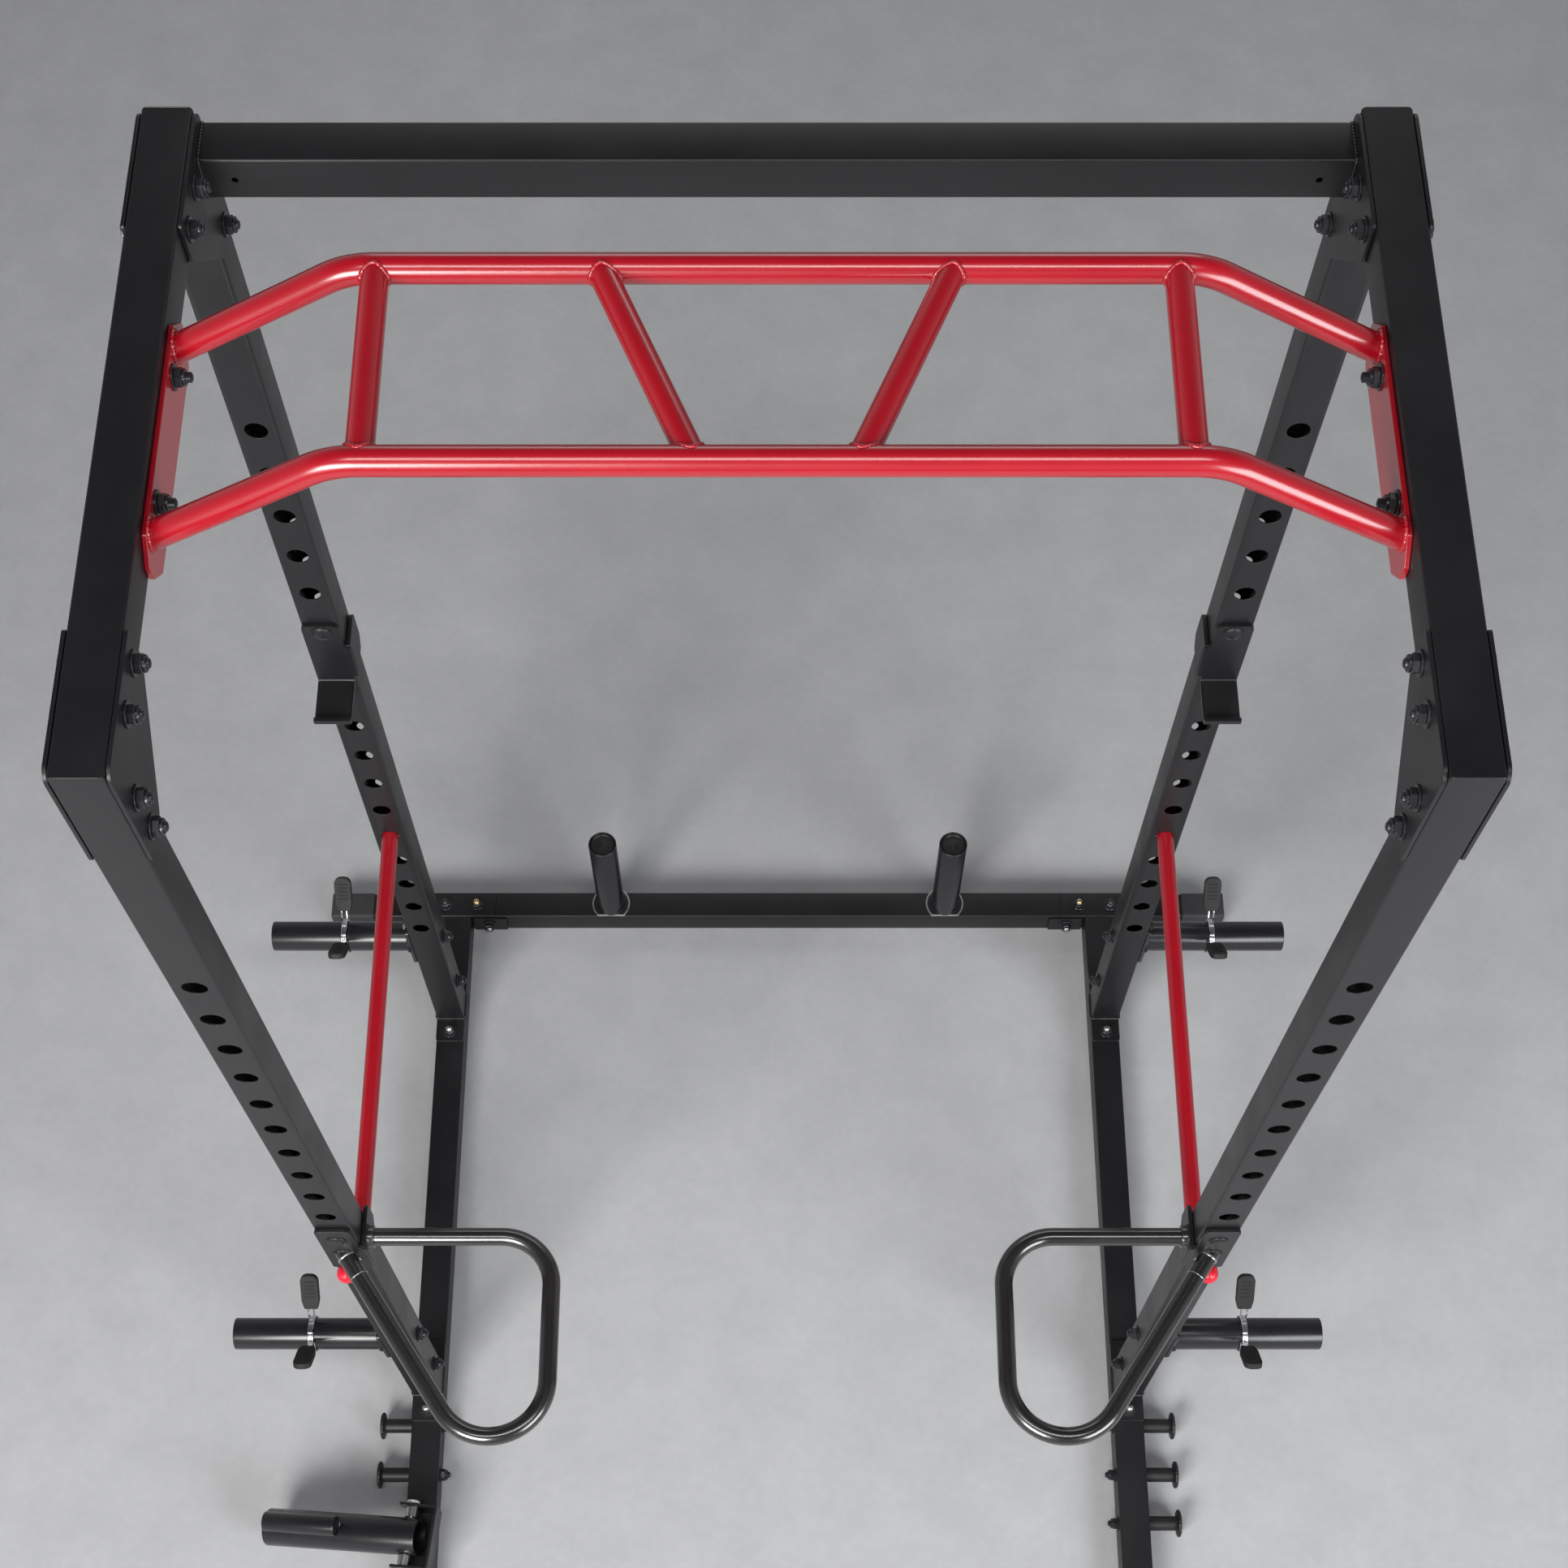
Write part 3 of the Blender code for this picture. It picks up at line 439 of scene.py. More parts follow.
def ny_collar(p, ax, r=0.0082, h=0.0034):
    return bm_turned(p, ax, [(0, 0), (0, r - 0.0016), (0.0008, r - 0.0016), (0.0010, r), (h * 0.75, r), (h, r - 0.0008), (h, 0.0062), (h - 0.0006, 0.0058), (h - 0.0006, 0.0)], 30)

def bolt_tip(p, ax, r=0.0052, l=0.008, dome=0.0010):
    prof = [(0, 0)]
    t = 0.0
    while t < l - 0.0016:
        prof += [(t, r * 0.90), (t + 0.0007, r)]
        t += 0.0014
    prof += [(l - 0.0008, r * 0.90), (l, r * 0.70), (l + dome, 0.0)]
    return bm_turned(p, ax, prof, 22)

def nut_parts(p, ax, af=0.0172, h=0.0068, reach=0.0175, wr=0.0125, turn=0.2):
    """Washer, nylon-insert nut and bolt end stacked on a face at p."""
    p, ax = Vector(p), Vector(ax).normalized()
    return [washer(p, ax, wr, 0.0019), hexbody(p + ax * 0.0019, ax, af, h, turn), ny_collar(p + ax * (0.0019 + h - 0.0001), ax),
            bolt_tip(p + ax * (0.0019 + h + 0.002), ax, l=max(0.003, reach - h - 0.0039 - 0.0010))]

def head_parts(p, ax, af=0.0180, h=0.0062, turn=0.0):
    p, ax = Vector(p), Vector(ax).normalized()
    return [washer(p, ax, 0.0118, 0.0014), hexbody(p + ax * 0.0014, ax, af, h - 0.0014, turn)]

black_hw, zinc_hw, welds = [], [], []

# ------------------------------------------------------------------ floor frame
for side, s in SIDES:
    done(obj_from(bm_tube('Y', BASE_FRONT + 0.004 + GAP, FLOOR_Y0 - GAP, (s * XC, TUBE / 2)), "base_tube_" + side, "frame"),
         ROOT, "base_beam_" + side, 0.0004, 1, 60)
    pts = round_poly([(s * XC - 0.025, 0.0), (s * XC + 0.025, 0.0), (s * XC + 0.025, 0.05), (s * XC - 0.025, 0.05)], 0.005)
    cap = bm_prism(pts, 'Y', BASE_FRONT, BASE_FRONT + 0.004)
    plug = bm_box(s * XC - 0.0226, s * XC + 0.0226, BASE_FRONT + 0.003, BASE_FRONT + 0.016, 0.0024, 0.0476)
    done(obj_from(join(cap, plug), "end_cap_" + side, "plastic"), ROOT, "base_cap_" + side, 0.0011, 3)
    lo, hi = sorted((s * (FLOOR_JOINT + GAP), s * (OUT_END - 0.088)))
    out = obj_from(bm_tube('X', lo, hi, ((FLOOR_Y0 + FLOOR_Y1) / 2, TUBE / 2)), "outrigger_tube_" + side, "frame")
    hole = bm_rod((s * 0.655, FLOOR_Y0 - 0.01, 0.026), (s * 0.655, FLOOR_Y0 + 0.01, 0.026), 0.0045, 24)
    cut(out, tmp(hole))
    done(out, ROOT, "rear_outrigger_" + side, 0.0004, 1, 60)
    # rubber foot: a rounded sleeve over the tube end, with a slimmer rubber neck behind it
    a, b = sorted((s * (OUT_END - 0.078), s * OUT_END))
    prof = round_poly([(FLOOR_Y0, 0.0), (FLOOR_Y1, 0.0), (FLOOR_Y1, 0.05), (FLOOR_Y0, 0.05)], 0.0055)
    parts = [bm_prism(prof, 'X', a, b)]
    foot = obj_from(parts[0], "foot_sleeve_" + side, "foot")
    done(foot, ROOT, "outrigger_foot_" + side, 0.0012, 3)
    a, b = sorted((s * (OUT_END - 0.088 + GAP), s * (OUT_END - 0.077)))
    prof = round_poly([(FLOOR_Y0 + 0.002, 0.002), (FLOOR_Y1 - 0.002, 0.002), (FLOOR_Y1 - 0.002, 0.048), (FLOOR_Y0 + 0.002, 0.048)], 0.004)
    done(obj_from(bm_prism(prof, 'X', a, b), "foot_neck_" + side, "rubber"), ROOT, (), 0.0006)
    # bolt up through the joint: black washer and nut, yellow zinc tip
    p = Vector((s * 0.560, 0.655, TUBE + GAP))
    black_hw.extend([washer(p, (0, 0, 1), 0.0118, 0.0014), hexbody(p + Vector((0, 0, 0.0014)), (0, 0, 1), 0.0160, 0.0070, 0.3)])
    tip = bolt_tip(p + Vector((0, 0, 0.0070)), (0, 0, 1), 0.0052, 0.0080, 0.0024)
    done(obj_from(tip, "joint_bolt_tip_" + side, "brass"), ROOT, "floor_joint_bolt_" + side, deg=30)
    # splice plate on the front face
    a, b = sorted((s * (FLOOR_JOINT - 0.020), s * (XC - TUBE / 2 - 0.002)))
    pts = round_poly([(a, 0.004), (b, 0.004), (b, 0.046), (a, 0.046)], 0.004)
    done(obj_from(bm_prism(pts, 'Y', FLOOR_Y0 - GAP - 0.004, FLOOR_Y0 - GAP), "splice_plate_" + side, "frame"), ROOT,
         "floor_joint_plate_" + side, 0.0006)
    q = nut_parts((s * 0.538, FLOOR_Y0 - GAP - 0.004, 0.026), (0, -1, 0), af=0.0160, reach=0.0150)
    black_hw.extend(q[:3])
    zinc_hw.extend(q[3:])
    for (px, py) in ((0.618, 0.655),):
        q = nut_parts((s * px, py, TUBE), (0, 0, 1), af=0.0160, reach=0.0165)
        black_hw.extend(q)
cb = obj_from(bm_tube('X', -FLOOR_JOINT, FLOOR_JOINT, ((FLOOR_Y0 + FLOOR_Y1) / 2, TUBE / 2)), "floor_crossbeam_tube", "frame")
done(cb, ROOT, "rear_floor_crossbeam", 0.0004, 1, 60)

# ------------------------------------------------------------------ uprights
def post(name, node, s, y0, rear):
    yc = y0 + TUBE / 2
    sg = -1.0 if rear else 1.0
    mitre = lambda a, b: -0.5 * TUBE - sg * (b - yc) - GAP * 0.75
    o = obj_from(bm_tube('Z', TUBE + GAP + FOOT_T - 0.001, TOP, (s * XC, yc), hi_cut=mitre), name, "frame")
    bm = [bm_rod((s * XC, y0 - 0.01, HOLE_TOP - k * HOLE_PITCH), (s * XC, y0 + TUBE + 0.01, HOLE_TOP - k * HOLE_PITCH), HOLE_R, 36)
          for k in range(HOLE_N)]
    cut(o, tmp(join(*bm)))
    done(o, ROOT, node, 0.0007, 2, 50)
    z0, z1 = TUBE + GAP, TUBE + GAP + FOOT_T
    pts = round_poly([(s * XC - 0.025, y0 - FOOT_REACH), (s * XC + 0.025, y0 - FOOT_REACH),
                      (s * XC + 0.025, y0 + TUBE + FOOT_REACH), (s * XC - 0.025, y0 + TUBE + FOOT_REACH)], 0.006)
    done(obj_from(bm_prism(pts, 'Z', z0, z1), name + "_foot", "frame"), ROOT, (), 0.0008, 2)
    welds.append(bm_bead([(s * XC + a, yc + b, z1 + 0.0004) for a, b in rrect(0.0255, 0.005)], (0, 0, 1), 0.0026))
    for yy in (y0 - 0.026, y0 + TUBE + 0.026):
        q = nut_parts((s * XC, yy, z1), (0, 0, 1), af=0.0160, reach=0.0185, wr=0.0115, turn=0.1)
        black_hw.extend(q[:3])
        zinc_hw.extend(q[3:])

for side, s in SIDES:
    post("upright_front_" + side, "post_front_" + side, s, FY, False)
    post("upright_rear_" + side, "post_rear_" + side, s, RY - TUBE, True)

# ------------------------------------------------------------------ top frame
for side, s in SIDES:
    zc = TOP - TUBE / 2
    done(obj_from(bm_tube('Y', FY, RY, (s * XC, zc), lo_cut=lambda a, b: (TOP - b) + GAP * 0.75,
                          hi_cut=lambda a, b: -(TOP - b) - GAP * 0.75), "side_beam_" + side, "frame"),
         ROOT, "top_beam_" + side, 0.0006, 2, 50)
    # ground mitre welds
    for y0, sg in ((FY, 1), (RY, -1)):
        loop = [(s * XC + a, y0 + sg * (TUBE / 2 - b), TOP - TUBE / 2 + b) for a, b in rrect(0.0247, 0.0042)]
        welds.append(bm_bead(loop, (0, -0.7071 * sg, 0.7071), 0.0007, 0.003, 6))
cx = INNER - GAP - GUS_T - GAP
cross = obj_from(bm_tube('X', -cx, cx, (RY - TUBE / 2, (CROSS_Z0 + CROSS_Z1) / 2)), "top_crossbeam_tube", "frame")
for s in (-1, 1):
    cut(cross, tmp(bm_rod((s * 0.534, RF - 0.01, 2.086), (s * 0.534, RF + 0.01, 2.086), 0.0032, 20)))
    welds.append(bm_bead([(s * (cx - 0.0004), RY - TUBE / 2 + a, (CROSS_Z0 + CROSS_Z1) / 2 + b) for a, b in rrect(0.0253, 0.005)],
                         (1, 0, 0), 0.0018))
done(cross, ROOT, "rear_top_crossbeam", 0.0004, 1, 60)

def gusset_outline(rear):
    pts = [(0.0, 0.0), (GUS, 0.0), (GUS, -0.048), (TUBE, -GUS), (0.0, -GUS)]
    pts = [(FY + a, TOP + b) if not rear else (RY - a, TOP + b) for a, b in pts]
    return round_poly(pts, [0.0145, 0.004, 0.006, 0.006, 0.004], 8)

for side, s in SIDES:
    for where, y0, rear in WHERE:
        pts = gusset_outline(rear)
        e0 = RY if rear else FY
        sg = -1 if rear else 1
        holes = [(e0 + sg * 0.078, TOP - 0.025), (e0 + sg * 0.130, TOP - 0.025),
                 (e0 + sg * 0.025, TOP - 0.078), (e0 + sg * 0.025, TOP - 0.130)]
        a, b = sorted((s * (INNER - GAP - GUS_T), s * (INNER - GAP)))
        done(obj_from(bm_prism(pts, 'X', a, b), "gusset_plate_inner_%s_%s" % (where, side), "frame"),
             ROOT, "gusset_inner_%s_%s" % (where, side), 0.0007)
        for k, (hy, hz) in enumerate(holes):
            if rear and k == 2:
                continue
            black_hw.extend(nut_parts((s * (INNER - GAP - GUS_T), hy, hz), (-s, 0, 0), reach=0.0160, turn=0.15 * k))
        a, b = sorted((s * (XO + GAP), s * (XO + GAP + GUS_T)))
        done(obj_from(bm_prism(pts, 'X', a, b), "gusset_plate_outer_%s_%s" % (where, side), "frame"),
             ROOT, "gusset_outer_%s_%s" % (where, side), 0.0007)
        for k, (hy, hz) in enumerate(holes):
            black_hw.extend(head_parts((s * (XO + GAP + GUS_T), hy, hz), (s, 0, 0), turn=0.1 * k))

# ------------------------------------------------------------------ pull-up bar
parts = []
for y in (BAR_YR, BAR_YF):
    path = bend_path([(-INNER + 0.003, y, BAR_Z0), (-BAR_BEND, y, BAR_Z1), (BAR_BEND, y, BAR_Z1),
                      (INNER - 0.003, y, BAR_Z0)], (0.09, 0.09), 14)
    parts.append(bm_bent(path, BAR_R, 32, up=(0, 1, 0), ends=((1, 0, 0), (1, 0, 0))))
rungs = [((-0.360, BAR_YR), (-0.360, BAR_YF)), ((-0.159, BAR_YR), (-0.0715, BAR_YF)),
         ((0.159, BAR_YR), (0.0715, BAR_YF)), ((0.360, BAR_YR), (0.360, BAR_YF))]
rw = []
for (x0, ya), (x1, yb) in rungs:
    P, Q = Vector((x0, ya, BAR_Z1)), Vector((x1, yb, BAR_Z1))
    parts.append(bm_rod(P, Q, 0.0130, 32))
    d = (Q - P).normalized()
    for E, sgn in ((P, 1), (Q, -1)):
        loop = []
        u, v = frame_of(d)
        for i in range(40):
            a = 2 * math.pi * i / 40
            off = 0.0130 * (math.cos(a) * u + math.sin(a) * v)
            # saddle where the rung meets the round bar
            dz = off.z
            back = math.sqrt(max(BAR_R ** 2 - dz ** 2, 0.0))
            along = back / max(abs(d.y), 0.3) + (-sgn * off.y * d.y - 0) * 0.0
            p = E + off
            t = ((E.y - sgn * 0 - p.y) + (back if sgn * d.y > 0 else -back)) / d.y
            loop.append(p + d * t)
        rw.append(bm_bead(loop, d, 0.0021, 0.0038, 8))
for s in (-1, 1):
    c = 0.022
    pts = round_poly([(PLATE_Y0, 2.058 + c), (PLATE_Y0 + c, 2.058), (PLATE_Y1 - c, 2.058), (PLATE_Y1, 2.058 + c),
                      (PLATE_Y1, 2.118 - c), (PLATE_Y1 - c, 2.118), (PLATE_Y0 + c, 2.118), (PLATE_Y0, 2.118 - c)], 0.006)
    a, b = sorted((s * (INNER - GAP), s * (INNER - GAP - 0.005)))
    o = obj_from(bm_prism(pts, 'X', a, b), "bar_end_plate_" + ("left" if s < 0 else "right"), "red")
    done(o, ROOT, (), 0.0008)
    for y in (BAR_YR, BAR_YF):
        n = Vector((1, 0, 0))
        d = Vector((INNER - BAR_BEND, 0, BAR_Z0 - BAR_Z1)).normalized()
        k = 1 / d.x
        loop = [(s * (INNER - GAP - 0.0052), y + BAR_R * math.cos(t), BAR_Z0 + 0.0035 + BAR_R * k * math.sin(t))
                for t in [2 * math.pi * i / 40 for i in range(40)]]
        rw.append(bm_bead(loop, (1, 0, 0), 0.0024, 0.0040, 8))
    for y in (FY + 0.304, FY + 0.447):
        black_hw.extend(nut_parts((s * (INNER - GAP - 0.005), y, BAR_Z0), (-s, 0, 0), reach=0.019, turn=0.3))
        black_hw.extend(head_parts((s * (XO + 0.0002), y, BAR_Z0), (s, 0, 0)))
done(obj_from(join(*parts), "multi_grip_bar", "red"), ROOT, "pull_up_bar", deg=50)
done(obj_from(join(*rw), "multi_grip_bar_welds", "red"), ROOT, deg=80)

# ------------------------------------------------------------------ plate storage
for side, s in SIDES:
    for where, y0, rear in WHERE:
        yc = y0 + TUBE / 2
        x0 = XO + GAP + FLANGE_T - 0.001
        L = SLEEVE_END - x0
        c = 0.0012
        o = obj_from(bm_turned((s * x0, yc, SLEEVE_Z), (s, 0, 0),
                               [(0, SLEEVE_RI), (0, SLEEVE_R), (L - c, SLEEVE_R), (L - c * 0.3, SLEEVE_R - c * 0.3), (L, SLEEVE_R - c),
                                (L, SLEEVE_RI + 0.0004), (L - 0.0006, SLEEVE_RI)], 64),
                     "storage_sleeve_%s_%s" % (where, side), "sleeve")
        done(o, ROOT, "plate_sleeve_%s_%s" % (where, side))
        plug = bm_turned((s * (x0 + 0.01), yc, SLEEVE_Z), (s, 0, 0),
                         [(0, 0), (0, SLEEVE_RI - 0.0001), (L - 0.0126, SLEEVE_RI - 0.0001), (L - 0.0114, SLEEVE_RI - 0.0012),
                          (L - 0.0118, SLEEVE_RI - 0.004), (L - 0.0122, 0.0)], 48)
        done(obj_from(plug, "sleeve_plug_%s_%s" % (where, side), "plastic"), ROOT)
        a, b = sorted((s * (XO + GAP), s * (XO + GAP + FLANGE_T)))
        pts = round_poly([(yc - 0.025, SLEEVE_Z - 0.055), (yc + 0.025, SLEEVE_Z - 0.055), (yc + 0.025, SLEEVE_Z + 0.055), (yc - 0.025, SLEEVE_Z + 0.055)], 0.005)
        done(obj_from(bm_prism(pts, 'X', a, b), "sleeve_flange_%s_%s" % (where, side), "sleeve"), ROOT, (), 0.0008)
        welds.append(bm_bead(circle((s * (XO + GAP + FLANGE_T + 0.0005), yc, SLEEVE_Z), (s, 0, 0), SLEEVE_R + 0.0004), (1, 0, 0), 0.0028))
        for dz in (-0.042, 0.042):
            black_hw.extend(head_parts((s * (XO + GAP + FLANGE_T), yc, SLEEVE_Z + dz), (s, 0, 0), af=0.0150, turn=0.2))
        black_hw.extend(nut_parts((s * (INNER - GAP), yc, SLEEVE_Z), (-s, 0, 0), reach=0.0165, turn=0.3))
        black_hw.extend(nut_parts((s * (INNER - GAP), yc, 0.166), (-s, 0, 0), reach=0.0165, turn=0.1))
    # upright plate peg
    H = PEG_TOP - TUBE - GAP
    p = Vector((s * PEG_X, (FLOOR_Y0 + FLOOR_Y1) / 2, TUBE + GAP))
    o = obj_from(bm_turned(p, (0, 0, 1), [(0.0004, 0.0222), (0.0004, 0.0247), (H - 0.0012, 0.0247), (H - 0.0004, 0.0243), (H, 0.0236),
                                          (H, 0.0226), (H - 0.0005, 0.0222)], 64), "floor_peg_" + side, "sleeve")
    done(o, ROOT, "plate_peg_" + side)
    cap = bm_turned(p + Vector((0, 0, H - 0.020)), (0, 0, 1), [(0, 0), (0, 0.0219), (0.0165, 0.0219), (0.0172, 0.0208), (0.0142, 0.0185), (0.0138, 0.0050),
                                                        (0.0150, 0.0030), (0.0150, 0.0)], 48)
    done(obj_from(cap, "floor_peg_plug_" + side, "plastic"), ROOT)
    disc = obj_from(bm_turned(p, (0, 0, 1), [(0, 0.0235), (0, 0.0342), (0.0005, 0.0350), (0.0042, 0.0350), (0.0050, 0.0340), (0.0050, 0.0235)], 72),
                    "floor_peg_flange_" + side, "zinc")
    boolean(disc, tmp(bm_box(s * PEG_X - 0.04, s * PEG_X + 0.04, FLOOR_Y0 + 0.0003, FLOOR_Y1 - 0.0003, 0.04, 0.06)), 'INTERSECT')
    done(disc, ROOT, (), 0.0005)
    top = obj_from(bm_turned(p + Vector((0, 0, 0.0049)), (0, 0, 1), [(0, 0.0240), (0, 0.0322), (0.0007, 0.0320), (0.0010, 0.0310), (0.0010, 0.0240)], 72),
                   "floor_peg_collar_" + side, "sleeve")
    boolean(top, tmp(bm_box(s * PEG_X - 0.04, s * PEG_X + 0.04, FLOOR_Y0 + 0.0012, FLOOR_Y1 - 0.0012, 0.04, 0.06)), 'INTERSECT')
    done(top, ROOT)
    welds.append(bm_bead(circle(p + Vector((0, 0, 0.0060)), (0, 0, 1), 0.0246), (0, 0, 1), 0.0012))

def band_peg(name, node, s, y):
    prof = [(0, 0), (0, 0.0120), (0.0455, 0.0120), (0.0475, 0.0140), (0.0482, 0.0205), (0.0490, 0.0220), (0.0502, 0.0225),
            (0.0518, 0.0225), (0.0530, 0.0218), (0.0540, 0.0200), (0.0540, 0.0150), (0.0532, 0.0142), (0.0532, 0.0)]
    knurl = lambda a, t, r: 1.0 + (0.012 * math.cos(24 * a) if r > 0.0215 else 0.0)
    o = obj_from(bm_turned((s * (XO + GAP), y, 0.025), (s, 0, 0), prof, 144, wave=knurl), name, "plastic")
    done(o, ROOT, node, deg=30)
    q = nut_parts((s * (INNER - 0.0002), y, 0.025), (-s, 0, 0), reach=0.0175, turn=0.2)
    black_hw.extend(q)
    black_hw.extend([hexbody(Vector((s * (XO + GAP + 0.0531), y, 0.025)), (s, 0, 0), 0.013, 0.0008)])

for n, s, k in (("left_front", -1, 1), ("left_rear", -1, 0), ("right_rear", 1, 0), ("right_middle", 1, 1), ("right_front", 1, 2)):
    band_peg("resistance_peg_" + n, "band_peg_" + n, s, BAND_Y[k])

# ------------------------------------------------------------------ landmine
YAW = Matrix.Translation((-LM_X, LM_Y, 0)) @ Matrix.Rotation(-LM_YAW, 4, 'Z') @ Matrix.Translation((LM_X, -LM_Y, 0))
Z0 = TUBE + 0.0013
yoke = obj_from(bm_prism(round_poly([(-0.623, LM_Y - 0.053), (-0.565, LM_Y - 0.053), (-0.565, LM_Y + 0.053), (-0.623, LM_Y + 0.053)],
                                    [0.012, 0.004, 0.004, 0.012]), 'Z', Z0, Z0 + 0.004), "swivel_yoke", "frame")
back = round_poly([(LM_Y - 0.053, Z0), (LM_Y + 0.053, Z0), (LM_Y + 0.053, 0.108), (LM_Y - 0.053, 0.108)], [0, 0, 0.004, 0.004])
fuse(yoke, tmp(bm_prism(back, 'X', -0.569, -0.565)))
for sg in (-1, 1):
    a, b = sorted((LM_Y + sg * 0.049, LM_Y + sg * 0.053))
    pts = round_poly([(-0.565, Z0), (-0.565, 0.108), (-0.6275, 0.108), (-0.6285, 0.098), (-0.6170, Z0)], [0, 0.003, 0.012, 0.010, 0.004], 7)
    fuse(yoke, tmp(bm_prism(pts, 'Y', a, b)))
cut(yoke, tmp(bm_rod((-LM_PIN_X, LM_Y - 0.08, LM_PIN_Z), (-LM_PIN_X, LM_Y + 0.08, LM_PIN_Z), 0.0066, 28)),
    tmp(bm_rod((-LM_X, LM_Y, 0.04), (-LM_X, LM_Y, 0.07), 0.0070, 28)))
yoke.data.transform(YAW)
done(yoke, "landmine_yoke", "landmine_yoke", 0.0007)
yw = bm_bead([(-0.5745, LM_Y + 0.0455 * c, Z0 + 0.0275 + 0.023 * d) for c, d in ((-1, -1), (1, -1), (1, 1), (-1, 1))][:0] or
             [(-0.5700, LM_Y - 0.047, Z0 + 0.0045), (-0.5700, LM_Y + 0.047, Z0 + 0.0045), (-0.5707, LM_Y + 0.047, Z0 + 0.0045), (-0.5707, LM_Y - 0.047, Z0 + 0.0045)],
             (0, 0, 1), 0.0016)
o = obj_from(yw, "swivel_yoke_weld", "weld")
o.data.transform(YAW)
done(o, "landmine_yoke", deg=80)
d = Vector((-math.cos(LM_TILT), 0, -math.sin(LM_TILT)))
n = Vector((-math.sin(LM_TILT), 0, math.cos(LM_TILT)))
pin = Vector((-LM_PIN_X, LM_Y, LM_PIN_Z))
LL = 0.020 + LM_LEN
lm = obj_from(bm_turned(pin - d * 0.020, d, [(0, LM_RI), (0, LM_RO - 0.0006), (0.0006, LM_RO), (LL - 0.0012, LM_RO), (LL - 0.0003, LM_RO - 0.0005),
                                             (LL, LM_RO - 0.0014), (LL, LM_RI + 0.0004), (LL - 0.0005, LM_RI)], 72), "landmine_tube", "sleeve")
cut(lm, tmp(bm_rod((-LM_PIN_X, LM_Y - 0.08, LM_PIN_Z), (-LM_PIN_X, LM_Y + 0.08, LM_PIN_Z), 0.0066, 28)))
lm.data.transform(YAW)
done(lm, "landmine_sleeve", "landmine_sleeve", deg=35)
tt = pin + n * (LM_RO + 0.0150) + d * (LM_LEN - 0.012 - 0.125)
o = obj_from(bm_turned(tt, d, [(0.0006, 0.0140), (0, 0.0146), (0, 0.0158), (0.0008, 0.0165), (0.1240, 0.0165), (0.1247, 0.0161), (0.125, 0.0152),
                               (0.125, 0.0148), (0.1240, 0.0140)], 48), "landmine_grip_tube", "sleeve")
o.data.transform(YAW)
done(o, "landmine_sleeve")
o = obj_from(join(bm_turned(tt + d * 0.003, d, [(0, 0), (0, 0.0141), (0.118, 0.0141), (0.1195, 0.0128), (0.1195, 0)], 40)), "landmine_grip_plug", "plastic")
o.data.transform(YAW)
done(o, "landmine_sleeve")
seam = []
side_w = []
for sg in (-1, 1):
    a = math.radians(38)
    path = [tt - n * (0.0165 * math.cos(a)) + Vector((0, sg * 0.0165 * math.sin(a) * 0.9, 0)) + d * t for t in (0.004, 0.121)]
    loop = path + [q + Vector((0, sg * 0.0006, 0)) for q in reversed(path)]
    side_w.append(bm_bead(loop, n, 0.0020))
o = obj_from(join(*side_w), "landmine_weld", "weld")
o.data.transform(YAW)
done(o, "landmine_sleeve", deg=80)
pb = []
pb.append(bm_turned(pin - Vector((0, 0.0600, 0)), (0, 1, 0), [(0, 0), (0, 0.0058), (0.006, 0.0060), (0.1133, 0.0060), (0.1133, 0)], 28))
pb.append(hexbody(pin + Vector((0, 0.0533 + 0.0016, 0)), (0, 1, 0), 0.0180, 0.0050, 0.3))
pb.append(washer(pin + Vector((0, 0.0531, 0)), (0, 1, 0), 0.0135, 0.0016))
pb.append(washer(pin - Vector((0, 0.0531, 0)), (0, -1, 0), 0.0135, 0.0016))
pb.append(hexbody(pin - Vector((0, 0.0533 + 0.0014, 0)), (0, -1, 0), 0.0180, 0.0052, 0.1))
pb.append(washer(pin + Vector((0, 0.0312, 0)), (0, 1, 0), 0.0105, 0.0172, 0.0062))
pb.append(washer(pin - Vector((0, 0.0312, 0)), (0, -1, 0), 0.0105, 0.0172, 0.0062))
o = obj_from(join(*pb), "landmine_pivot_bolt", "zinc")
o.data.transform(YAW)
done(o, "landmine_yoke", "landmine_pin")
p = Vector((-LM_X, LM_Y, TUBE + GAP))
sb = [bm_turned(p, (0, 0, 1), [(0, 0), (0, 0.0058), (0.0057, 0.0058), (0.0057, 0)], 24),
      washer(p + Vector((0, 0, 0.0054)), (0, 0, 1), 0.0120, 0.0012), ]
sb.append(bm_turned(p + Vector((0, 0, 0.0066)), (0, 0, 1), [(0, 0), (0, 0.0090), (0.0015, 0.0086), (0.0028, 0.0066), (0.0034, 0.0030), (0.0035, 0)], 28))
done(obj_from(join(*sb), "swivel_bolt_head", "zinc"), ROOT, "landmine_swivel_bolt")

# ------------------------------------------------------------------ J-hooks
def ribbon(path, t):
    """Outline of a bent plate from its centre line and thickness."""
    L, R = [], []
    m = len(path)
    for k, p in enumerate(path):
        a = path[max(0, k - 1)]
        b = path[min(m - 1, k + 1)]
        u = (b - a).normalized()
        q = Vector((-u.y, u.x))
        L.append(tuple(p + q * t / 2))
        R.append(tuple(p - q * t / 2))
    return L + R[::-1]

